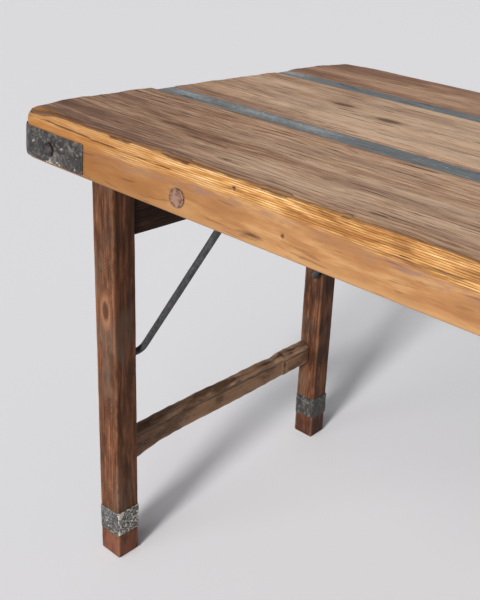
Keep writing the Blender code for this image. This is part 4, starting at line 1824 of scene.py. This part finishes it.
@dataclass
class SheetBand(BentSheet):
    """A thin sheet-iron band nailed round a leg's foot, its end lapped over its start."""

    node: str
    stance: Matrix
    leg_size: float
    low: float
    high: float
    seed: float
    finish: Finish
    flaking: float
    thick: float = 0.0009
    turn_radius: float = 0.0032
    lap: float = 0.014
    lap_start: float = 0.012
    steps_up: int = 10
    ending: str = "_sheet"

    def path(self) -> Route:
        """Points round the leg with their outward directions, from the lap round to its start.

        Returns:
            (point, outward) pairs.
        """
        half = self.leg_size / 2 + 0.0001
        flat = half - self.turn_radius
        route: Route = []
        start = Vector((half, flat - self.lap_start))
        for share in (0.0, 0.5):
            route.append((start.lerp(Vector((half, flat)), share), Vector((1, 0))))
        for quarter in range(4):
            centre_turn = quarter * math.pi / 2
            across = Vector((math.cos(centre_turn), math.sin(centre_turn)))
            ahead = Vector((-across.y, across.x))
            centre = across * flat + ahead * flat
            for i in range(5):
                turn = centre_turn + math.pi / 2 * i / 4
                out = Vector((math.cos(turn), math.sin(turn)))
                route.append((centre + out * self.turn_radius, out))
            if quarter < 3:
                for i in range(1, 8):
                    route.append((centre + ahead * self.turn_radius - across * (2 * flat * i / 8), ahead))
        last_centre = Vector((flat, -flat))
        for i in range(1, 9):
            reach = 2 * flat * i / 8 + (self.lap - self.lap_start if i == 8 else 0.0)
            lift = self.thick * 1.05 * ease(reach, 2 * flat - 0.024, 2 * flat - 0.014)
            route.append((last_centre + Vector((self.turn_radius + lift, reach)), Vector((1, 0))))
        return route

    def ring(self, point: Vector, out: Vector, travelled: float, left: float) -> list[Spot]:
        """One section of the band, a little uneven along its edges.

        Args:
            point: Where the section stands.
            out: The way outward.
            travelled: The length of path before it.
            left: The length of path after it; not used here.

        Returns:
            The section's spots.
        """
        top = self.high - 0.0009 * (1 + self.ripple(travelled * 60))
        foot = self.low + 0.0008 * (1 + self.ripple(travelled * 45, 4.0))
        ring = []
        for height, outside in self.heights(foot, top):
            edge = bell(min(height - foot, top - height), 0.0, 0.002)
            offset = 0.0
            if outside:
                dent = 0.00035 * (1 + self.ripple(travelled * 55, height * 70))
                offset = self.thick - dent - 0.0004 * edge
            flat = point + out * offset
            place = Vector((height, travelled, 0.0))
            spot = Spot(self.stance @ Vector((height, flat.y, flat.x)), place + Vector((self.seed, 0, 0)))
            spot.wear = edge * 0.6
            inner_face = ease(out.x, 0.2, 0.8)
            patch = ease(self.ripple(travelled * 24, height * 30), -0.2, 0.4)
            spot.pale = self.flaking * (0.15 + 1.8 * inner_face) * (0.45 + 0.55 * patch)
            ring.append(spot)
        return ring


@dataclass
class LegFrame:
    """Two legs with their cross rail, stretcher and foot bands, leaning as the model's frame does."""

    end: End
    play: float = 0.0006
    band_trim: float = 0.0016
    knot_over_foot: float = 0.452
    # How much painted shade darkens the back legs.
    back_soot: float = 0.36

    def __post_init__(self) -> None:
        """Works out the frame's pivot and lean from its joint and foot mounts."""
        joint = JOINTS[f"leg_fold_{self.end.word}"]
        self.body = joint["child"]
        self.pivot = Vector(joint["pos_m"])
        foot = Vector(MOUNTS[f"foot_{self.end.word}_front"]["pos_m"])
        self.lean = math.atan2(self.pivot.x - foot.x, self.pivot.z - foot.z)
        self.drop = math.hypot(self.pivot.x - foot.x, self.pivot.z - foot.z)
        low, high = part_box(f"leg_{self.end.word}_front")
        self.leg_size = high.y - low.y

    def stance(self, down: float, across: float, inward: float) -> Matrix:
        """The place of a piece that hangs down the leaning frame.

        Args:
            down: How far below the pivot its middle lies, along the legs.
            across: Its middle's Y.
            inward: How far its middle lies towards the middle of the table.

        Returns:
            A matrix with X down the leg, Y across the table and Z along it.
        """
        lean = Matrix.Rotation(self.lean, 4, "Y")
        own_x = lean @ Vector((0, 0, -1))
        own_y = Vector((0, 1, 0))
        own_z = own_x.cross(own_y)
        middle = self.pivot + own_x * down + Vector((0, across, 0))
        middle += (lean @ Vector((-self.end.value, 0, 0))) * inward
        made = Matrix((own_x, own_y, own_z)).transposed().to_4x4()
        made.translation = middle
        return made

    def build_legs(self) -> None:
        """Makes both legs and their bands."""
        for index, side in enumerate(Side):
            node = f"leg_{self.end.word}_{side.word}"
            low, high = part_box(node)
            middle_y = (low.y + high.y) / 2
            crown = high.z - self.pivot.z
            length, thick = self.drop + crown, self.leg_size - self.play
            knot = Knot(0.13 - 0.2 * index, -0.006, 0.0, 0.007)
            if self.end is End.LEFT and side is Side.FRONT:
                knot = Knot(self.drop - self.knot_over_foot - length / 2 + crown, -self.leg_size / 2,
                            0.002, 0.0105)
            seed = 30.0 + 4 * index + (10 if self.end is End.RIGHT else 0)
            Leg(node + "_timber", node, length, thick, thick,
                self.stance(length / 2 - crown, middle_y, 0.0), STAINED, seed, rounding=0.0022,
                spacing=0.006, steps=(6, 6, 6, 6), sway=0.0003, knots=(knot,), lean=self.lean,
                crown=crown, scuffs=(0.02, 0.1, 0.18, -0.1, -0.2),
                soot=0.0 if side is Side.FRONT else self.back_soot).build()
            band = f"foot_band_{self.end.word}_{side.word}"
            low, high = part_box(band)
            flat_low = (self.pivot.z - high.z) / math.cos(self.lean) + self.band_trim
            flat_high = (self.pivot.z - low.z) / math.cos(self.lean) - self.band_trim
            SheetBand(band, self.stance(0.0, middle_y, 0.0), self.leg_size, flat_low, flat_high,
                      seed + 1, *((BAND, 1.0) if side is Side.FRONT else (STRAP, -0.6))).build()

    def crosswise(self, node: str) -> tuple[Matrix, Vector]:
        """The place and size of a rail that runs between the legs, leaning with them.

        Args:
            node: The rail's node.

        Returns:
            A matrix with X across the table, Y towards its end and Z up the legs, and the size.
        """
        low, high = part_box(node)
        size = high - low
        sine, cosine = abs(math.sin(self.lean)), math.cos(self.lean)
        spread = cosine * cosine - sine * sine
        thick = (size.x * cosine - size.z * sine) / spread
        tall = (size.z * cosine - size.x * sine) / spread
        upright = Matrix.Rotation(self.lean, 4, "Y")
        across = Matrix.Rotation(math.pi / 2, 4, "Z")
        return Matrix.Translation((low + high) / 2) @ upright @ across, Vector((size.y, thick, tall))

    def build_rails(self) -> None:
        """Makes the cross rail and the stretcher."""
        seed = 50.0 + 5 * (self.end.value + 1)
        node = f"cross_rail_{self.end.word}"
        stance, size = self.crosswise(node)
        # The cross rail takes the dark finish, painted shade for its place under the top.
        Timber(node + "_sawn", node, size.x, size.y, size.z, stance, SHADED_HARDWOOD, seed, rounding=0.0022,
               steps=(4, 10, 4, 10)).build()
        node = f"stretcher_{self.end.word}"
        stance, size = self.crosswise(node)
        Stretcher(node + "_hewn", node, size.x, size.y, size.z, stance, HEWN, seed + 2, rounding=0.003,
                  spacing=0.005, steps=(6, 26, 8, 26), sway=0.0).build()

    def build(self) -> None:
        """Makes the frame."""
        self.build_legs()
        self.build_rails()


# ---- Ironwork ----


@dataclass
class Turned(Rippled):
    """A forged round piece: rings of a profile about an axis, with an uneven rim."""

    node: str
    origin: Vector
    axis: Vector
    profile: Sequence[tuple[float, float]]
    finish: Finish
    seed: float = 0.0
    ending: str = "_forged"
    uneven: float = 0.03
    sides: int = 40
    closed_loop: bool = False

    def build(self) -> Piece:
        """Makes the piece and lets it stand for its node.

        Returns:
            The piece.
        """
        turn_to = self.axis.to_track_quat("Z", "Y").to_matrix().to_4x4()
        stance = Matrix.Translation(self.origin) @ turn_to
        skin = Skin()
        rings = []
        widest = max(radius for radius, _ in self.profile)
        for radius, height in self.profile:
            ring = []
            for i in range(self.sides):
                cosine, sine = math.cos(TURN * i / self.sides), math.sin(TURN * i / self.sides)
                rough = self.ripple(cosine * 1.6, sine * 1.6, height * 90)
                reach = radius * (1 - self.uneven * (0.5 + 0.5 * rough))
                place = Vector((cosine * reach, sine * reach, height))
                spot = Spot(stance @ place, place + Vector((self.seed, 0, 0)))
                spot.wear = 0.4 * bell(radius, widest, 0.0012)
                ring.append(spot)
            rings.append(skin.add_ring(ring))
        loop = rings + rings[:1] if self.closed_loop else rings
        skin.join(loop)
        if not self.closed_loop:
            for ring, height, facing_on in ((rings[0], self.profile[0][1], False),
                                            (rings[-1], self.profile[-1][1], True)):
                place = Vector((0, 0, height))
                skin.fan(ring, Spot(stance @ place, place + Vector((self.seed, 0, 0))), facing_on)
        return hand_over(skin.to_object(self.node + self.ending, self.finish, 35.0), self.node)


def head_profile(radius: float, height: float, flat: bool) -> list[tuple[float, float]]:
    """A hammered head's profile, from its crown out to its seat.

    Args:
        radius: The head's radius.
        height: How far it stands up.
        flat: Whether the crown is a flat disc or a dome.

    Returns:
        (radius, height) pairs.
    """
    if flat:
        shares = ((0.2, 0.86), (0.5, 0.84), (0.74, 0.83), (0.84, 0.9), (0.93, 0.82), (0.985, 0.6),
                  (1.0, 0.3), (0.995, 0.0))
    else:
        shares = ((0.2, 0.72), (0.5, 0.7), (0.62, 0.64), (0.7, 0.36), (0.77, 0.36), (0.83, 0.62),
                  (0.92, 0.66), (0.985, 0.45), (1.0, 0.2), (1.0, 0.0))
    return [(radius * across, height * up) for across, up in shares]


@dataclass
class CornerStrap(BentSheet):
    """A flat iron strap bent round a corner of the rim, hammered and chipped."""

    end: End
    side: Side
    thick: float = 0.0024
    corner: float = 0.030
    steps_up: int = 14
    step_along: float = 0.004
    ending: str = "_forged"
    finish: Finish = STRAP

    def __post_init__(self) -> None:
        """Reads the strap's box and the rim's corner."""
        self.node = f"corner_strap_{self.end.word}_{self.side.word}"
        self.low, self.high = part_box(self.node)
        rail_low, rail_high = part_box(f"side_rail_{self.side.word}")
        self.rim_x = rail_high.x
        self.rim_y = max(abs(rail_low.y), abs(rail_high.y))
        self.seed = 60.0 + 3 * self.end.value + 7 * self.side.value

    def path(self) -> Route:
        """Points on the rim's skin with their outward directions, for the +X and +Y corner.

        Returns:
            (point, outward) pairs.
        """
        inner = self.corner + 0.0003
        corner = Vector((self.rim_x - self.corner, self.rim_y - self.corner))
        tip_x = min(abs(self.low.x), abs(self.high.x))
        tip_y = min(abs(self.low.y), abs(self.high.y))
        route = [(Vector((x, corner.y + inner)), Vector((0, 1)))
                 for x in spaced(tip_x, corner.x, self.step_along)]
        for i in range(1, 13):
            turn = math.pi / 2 * (1 - i / 12)
            out = Vector((math.cos(turn), math.sin(turn)))
            route.append((corner + out * inner, out))
        route += [(Vector((corner.x + inner, y)), Vector((1, 0)))
                  for y in reversed(spaced(tip_y, corner.y, self.step_along)[:-1])]
        return route

    def ring(self, point: Vector, out: Vector, travelled: float, left: float) -> list[Spot]:
        """One section of the strap, hammered and rounded off towards its tips.

        Args:
            point: Where the section stands.
            out: The way outward.
            travelled: The length of path before it.
            left: The length of path after it.

        Returns:
            The section's spots.
        """
        tip = min(travelled, left)
        shrink = 0.0012 * (1 - ease(tip, 0.0, 0.003))
        top = self.high.z - 0.0007 * (1 + self.ripple(travelled * 45)) - shrink
        foot = self.low.z + 0.0006 * (1 + self.ripple(travelled * 60, 3.0)) + shrink
        ring = []
        for height, outside in self.heights(foot, top):
            edge = bell(min(height - foot, top - height), 0.0, 0.0022)
            offset = 0.0
            if outside:
                dent = 0.00035 * (1 + self.ripple(travelled * 50, height * 60))
                dent += 0.0002 * (1 + self.ripple(travelled * 160, height * 160))
                offset = self.thick - dent - 0.0009 * max(edge, bell(tip, 0.0, 0.0018))
            flat = point + out * offset
            spot = Spot(Vector((flat.x * self.end.value, flat.y * self.side.value, height)),
                        Vector((travelled + self.seed, height, offset)))
            spot.wear = 0.55 * max(edge, bell(tip, 0.0, 0.0018))
            low_edge = bell(height - foot, 0.002, 0.006)
            spot.pale = 0.9 * low_edge * ease(self.ripple(travelled * 40, height * 90), -0.3, 0.3)
            patch = ease(self.ripple(travelled * 26 + 3, height * 30), 0.15, 0.55)
            spot.grime = 0.6 * patch * (1 - low_edge)
            ring.append(spot)
        return ring


@dataclass
class Stay:
    """A round iron stay: bent into the leg, straight to the bar, then a jog and a hook round it."""

    end: End
    side: Side
    radius: float = 0.00575
    from_leg: float = 0.0205
    in_leg: float = 0.026
    bend: float = 0.012
    aim: float = 0.0067
    hook_gap: float = 0.0025
    hook_slim: float = 0.87
    hook_sweep: float = math.radians(126)
    jog: float = 0.092
    spacer_over_rod: float = 0.0046
    sides: int = 20

    def __post_init__(self) -> None:
        """Finds the stay's hole, the bar that it hooks on and the frame's lean."""
        self.node = f"stay_{self.end.word}_{self.side.word}"
        self.hole = Vector(JOINTS[f"stay_swing_{self.end.word}_{self.side.word}"]["pos_m"])
        low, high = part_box(f"hook_bar_{self.end.word}_nut")
        self.bar = Vector(((low.x + high.x) / 2, self.hole.y, (low.z + high.z) / 2))
        low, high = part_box(f"pivot_spacer_{self.end.word}_{self.side.word}")
        self.rod_radius = (high.z - low.z) / 2 - self.spacer_over_rod
        self.inner = -self.end.value

    def place(self, along: float, beside: float, out: float) -> Vector:
        """A point from its distances along and beside the straight run, and across the table."""
        return self.hole + Vector((self.ahead[0] * along + self.aside[0] * beside, out,
                                   self.ahead[1] * along + self.aside[1] * beside))

    def route(self) -> list[tuple[Vector, float]]:
        """Points along the stay with their share of its radius.

        Returns:
            (point, share of the radius) pairs.
        """
        away = self.bar - self.hole
        reach = math.hypot(away.x, away.z)
        tilt = math.asin(self.aim / reach)
        heading = math.atan2(away.z, self.inner * away.x) + tilt
        self.ahead = (self.inner * math.cos(heading), math.sin(heading))
        self.aside = (self.inner * math.sin(heading), -math.cos(heading))
        bar_along = reach * math.cos(tilt)
        hook = self.rod_radius + self.hook_gap + self.radius * self.hook_slim
        side = self.side.value
        plane = -side * self.from_leg
        route = [(self.hole + Vector((0, side * self.in_leg, 0)), 1.0)]
        route += [(self.hole + Vector((0, y * side, 0)), 1.0) for y in (0.012, 0.0, -0.004)]
        for i in range(9):
            turn = math.pi / 2 * i / 8
            beside_leg = plane + side * self.bend * (1 - math.sin(turn))
            route.append((self.place(self.bend * (1 - math.cos(turn)), 0, beside_leg), 1.0))
        start = bar_along - self.jog
        straight = spaced(self.bend + 0.01, start - 0.01, 0.012)
        route += [(self.place(along, 0, plane), 1.0) for along in straight]
        for i in range(14):
            share = i / 14
            point = self.place(start + self.jog * share, (self.aim + hook) * ease(share, 0.0, 1.0), plane)
            route.append((point, 1 - (1 - self.hook_slim) * share))
        for i in range(17):
            turn = self.hook_sweep * i / 16
            point = self.place(bar_along + hook * math.sin(turn), self.aim + hook * math.cos(turn), plane)
            route.append((point, self.hook_slim * (1 - 0.12 * ease(i, 13, 16))))
        return route

    def build(self) -> Piece:
        """Sweeps a round, slightly hammered section along the route.

        Returns:
            The piece.
        """
        route = self.route()
        skin = Skin()
        rings = []
        normal = None
        travelled = 0.0
        for index, (point, share) in enumerate(route):
            before = route[max(index - 1, 0)][0]
            after = route[min(index + 1, len(route) - 1)][0]
            ahead = (after - before).normalized()
            if normal is None:
                normal = ahead.orthogonal().normalized()
            normal = (normal - ahead * normal.dot(ahead)).normalized()
            across = ahead.cross(normal)
            travelled += (point - before).length
            ring = []
            for i in range(self.sides):
                turn = TURN * i / self.sides
                cosine, sine = math.cos(turn), math.sin(turn)
                out = normal * cosine + across * sine
                rough = 1 - 0.035 * (1 + ripple(travelled * 45, cosine, sine, seed=self.end.value))
                ring.append(Spot(point + out * self.radius * share * rough,
                                 Vector((travelled, cosine * 0.006, sine * 0.006))))
            rings.append(skin.add_ring(ring))
        skin.join(rings)
        for ring, (point, _), facing_on in ((rings[0], route[0], False), (rings[-1], route[-1], True)):
            skin.fan(ring, Spot(point, Vector((0, 0, 0))), facing_on)
        return hand_over(skin.to_object(self.node + "_forged", ROD), self.node)


@dataclass
class Ironwork:
    """Straps, bolts, rods, spacers and stays."""

    head_height: float = 0.004
    rod_radius: float = 0.006
    spacer_wall: float = 0.004

    def build_rods(self, end: End) -> None:
        """Makes the pivot rod and the hook bar of one end, with their nuts.

        Args:
            end: The end of the table.
        """
        for word, flat, finish in (("pivot_rod", False, HEAD), ("hook_bar", True, BOLT)):
            node = f"{word}_{end.word}"
            low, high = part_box(node)
            middle_x, middle_z = (low.x + high.x) / 2, (low.z + high.z) / 2
            head = (high.x - low.x) / 2
            seat = low.y + self.head_height
            profile = head_profile(head, self.head_height * (0.72 if flat else 0.95), flat)
            shank = [(self.rod_radius, -0.0001), (self.rod_radius, -(high.y - seat)),
                     (self.rod_radius * 0.6, -(high.y - seat))]
            Turned(node, Vector((middle_x, seat, middle_z)), Vector((0, -1, 0)),
                   profile + shank, finish, seed=middle_x * 9).build()
            node += "_nut"
            low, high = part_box(node)
            profile = head_profile(head, self.head_height * 0.95, False)
            Turned(node, Vector((middle_x, low.y, middle_z)), Vector((0, 1, 0)), profile,
                   finish, seed=middle_x * 9 + 1).build()

    def build_corner(self, end: End, side: Side) -> None:
        """Makes one corner's strap, its bolt, the spacer and the stay.

        Args:
            end: The end of the table.
            side: The side of the table.
        """
        CornerStrap(end, side).build()
        node = f"strap_bolt_{end.word}_{side.word}"
        low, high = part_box(node)
        head = (high.z - low.z) / 2
        outer = high.x if end is End.RIGHT else low.x
        origin = Vector((outer - end.value * self.head_height, (low.y + high.y) / 2, (low.z + high.z) / 2))
        length = high.x - low.x - self.head_height
        profile = head_profile(head, self.head_height * 0.95, False)
        profile += [(0.003, -0.0001), (0.003, -length)]
        Turned(node, origin, Vector((end.value, 0, 0)), profile, BOLT,
               seed=80 + end.value + 3 * side.value).build()
        node = f"pivot_spacer_{end.word}_{side.word}"
        low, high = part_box(node)
        outer_radius = (high.z - low.z) / 2
        inner_radius = outer_radius - self.spacer_wall
        length = high.y - low.y
        profile = [(inner_radius, 0.0), (outer_radius * 0.96, 0.0), (outer_radius, -0.001),
                   (outer_radius, -length + 0.001), (outer_radius * 0.96, -length), (inner_radius, -length)]
        origin = Vector(((low.x + high.x) / 2, high.y, (low.z + high.z) / 2))
        Turned(node, origin, Vector((0, 1, 0)), profile, ROD, seed=90 + side.value,
               uneven=0.015, closed_loop=True, ending="_tube").build()
        Stay(end, side).build()

    def build(self) -> None:
        """Makes all the ironwork."""
        for end in End:
            self.build_rods(end)
            for side in Side:
                self.build_corner(end, side)


# ---- Studio ----


@dataclass(frozen=True)
class Viewpoint:
    """Where the camera stands and how it is turned."""

    place: Color = (-0.0131, -1.0879, 1.0464)
    turned_left: float = math.radians(38.87)
    tilted_down: float = math.radians(25.12)
    rolled: float = math.radians(5.41)
    focal_length: float = 52.36
    sensor: float = 36.0

    def build(self) -> Piece:
        """Makes the camera and lets the scene use it.

        Returns:
            The camera.
        """
        flat = Vector((-math.sin(self.turned_left), math.cos(self.turned_left), 0))
        ahead = flat * math.cos(self.tilted_down) - Vector((0, 0, math.sin(self.tilted_down)))
        level = Vector((math.cos(self.turned_left), math.sin(self.turned_left), 0))
        above = level.cross(ahead)
        right = level * math.cos(self.rolled) + above * math.sin(self.rolled)
        up = above * math.cos(self.rolled) - level * math.sin(self.rolled)
        lens = bpy.data.cameras.new("studio_camera")
        lens.lens = self.focal_length
        lens.sensor_width = self.sensor
        lens.sensor_fit = "AUTO"
        lens.clip_start, lens.clip_end = 0.05, 100.0
        camera = bpy.data.objects.new("studio_camera", lens)
        camera.matrix_world = Matrix((right, up, -ahead)).transposed().to_4x4()
        camera.location = self.place
        bpy.context.scene.collection.objects.link(camera)
        bpy.context.scene.camera = camera
        return camera


@dataclass(frozen=True)
class SoftLight:
    """A far soft light, as wide as its angle, that shines from one direction."""

    name: str
    heading: Color
    strength: float
    angle: float
    tint: Color = (1.0, 1.0, 1.0)

    def build(self) -> Piece:
        """Makes the light.

        Returns:
            The light.
        """
        lamp = bpy.data.lights.new(self.name, "SUN")
        lamp.energy = self.strength
        lamp.angle = math.radians(self.angle)
        lamp.color = self.tint
        holder = bpy.data.objects.new(self.name, lamp)
        holder.rotation_euler = Vector(self.heading).to_track_quat("Z", "Y").to_euler()
        bpy.context.scene.collection.objects.link(holder)
        return holder


@dataclass(frozen=True)
class Studio:
    """The pale floor, the soft lights, the even surroundings and the camera."""

    floor_reach: float = 150.0
    surround: Color = (0.93, 0.94, 1.0)
    surround_strength: float = 0.22
    seen_strength: float = 0.72
    lights: tuple[SoftLight, ...] = (
        SoftLight("key_light", (0.18, -0.91, 0.37), 3.6, 11.0, (1.0, 0.985, 0.97)),
        SoftLight("front_light", (0.05, -0.90, 0.42), 1.7, 60.0),
    )

    def build_floor(self) -> None:
        """Makes the floor just under the feet."""
        mesh = bpy.data.meshes.new("studio_floor")
        shape = bmesh.new()
        bmesh.ops.create_circle(shape, cap_ends=True, segments=96, radius=self.floor_reach)
        shape.to_mesh(mesh)
        shape.free()
        mesh.materials.append(StageTone().material())
        floor = bpy.data.objects.new("studio_floor", mesh)
        floor.location.z = -0.0004
        bpy.context.scene.collection.objects.link(floor)

    def build_surround(self) -> None:
        """Lights the scene evenly from all round."""
        world = bpy.data.worlds.new("studio_surround")
        world.use_nodes = True
        glow = world.node_tree.nodes["Background"]
        glow.inputs["Color"].default_value = (*self.surround, 1.0)
        shades = Tree(world.node_tree)
        seen = shades.add("LightPath").outputs["Is Camera Ray"]
        more = self.seen_strength - self.surround_strength
        shades.feed(glow.inputs["Strength"], shades.scaled(seen, more, self.surround_strength))
        bpy.context.scene.world = world

    def build(self) -> None:
        """Makes the studio."""
        self.build_floor()
        self.build_surround()
        for light in self.lights:
            light.build()
        Viewpoint().build()
        bpy.context.scene.view_settings.view_transform = "Standard"


def main() -> None:
    """Builds the table around its frame, then the studio."""
    logging.basicConfig(level=logging.INFO, format="%(name)s: %(message)s")
    TableTop().build()
    for end in End:
        LegFrame(end).build()
    Ironwork().build()
    Studio().build()


if __name__ == "__main__":
    main()
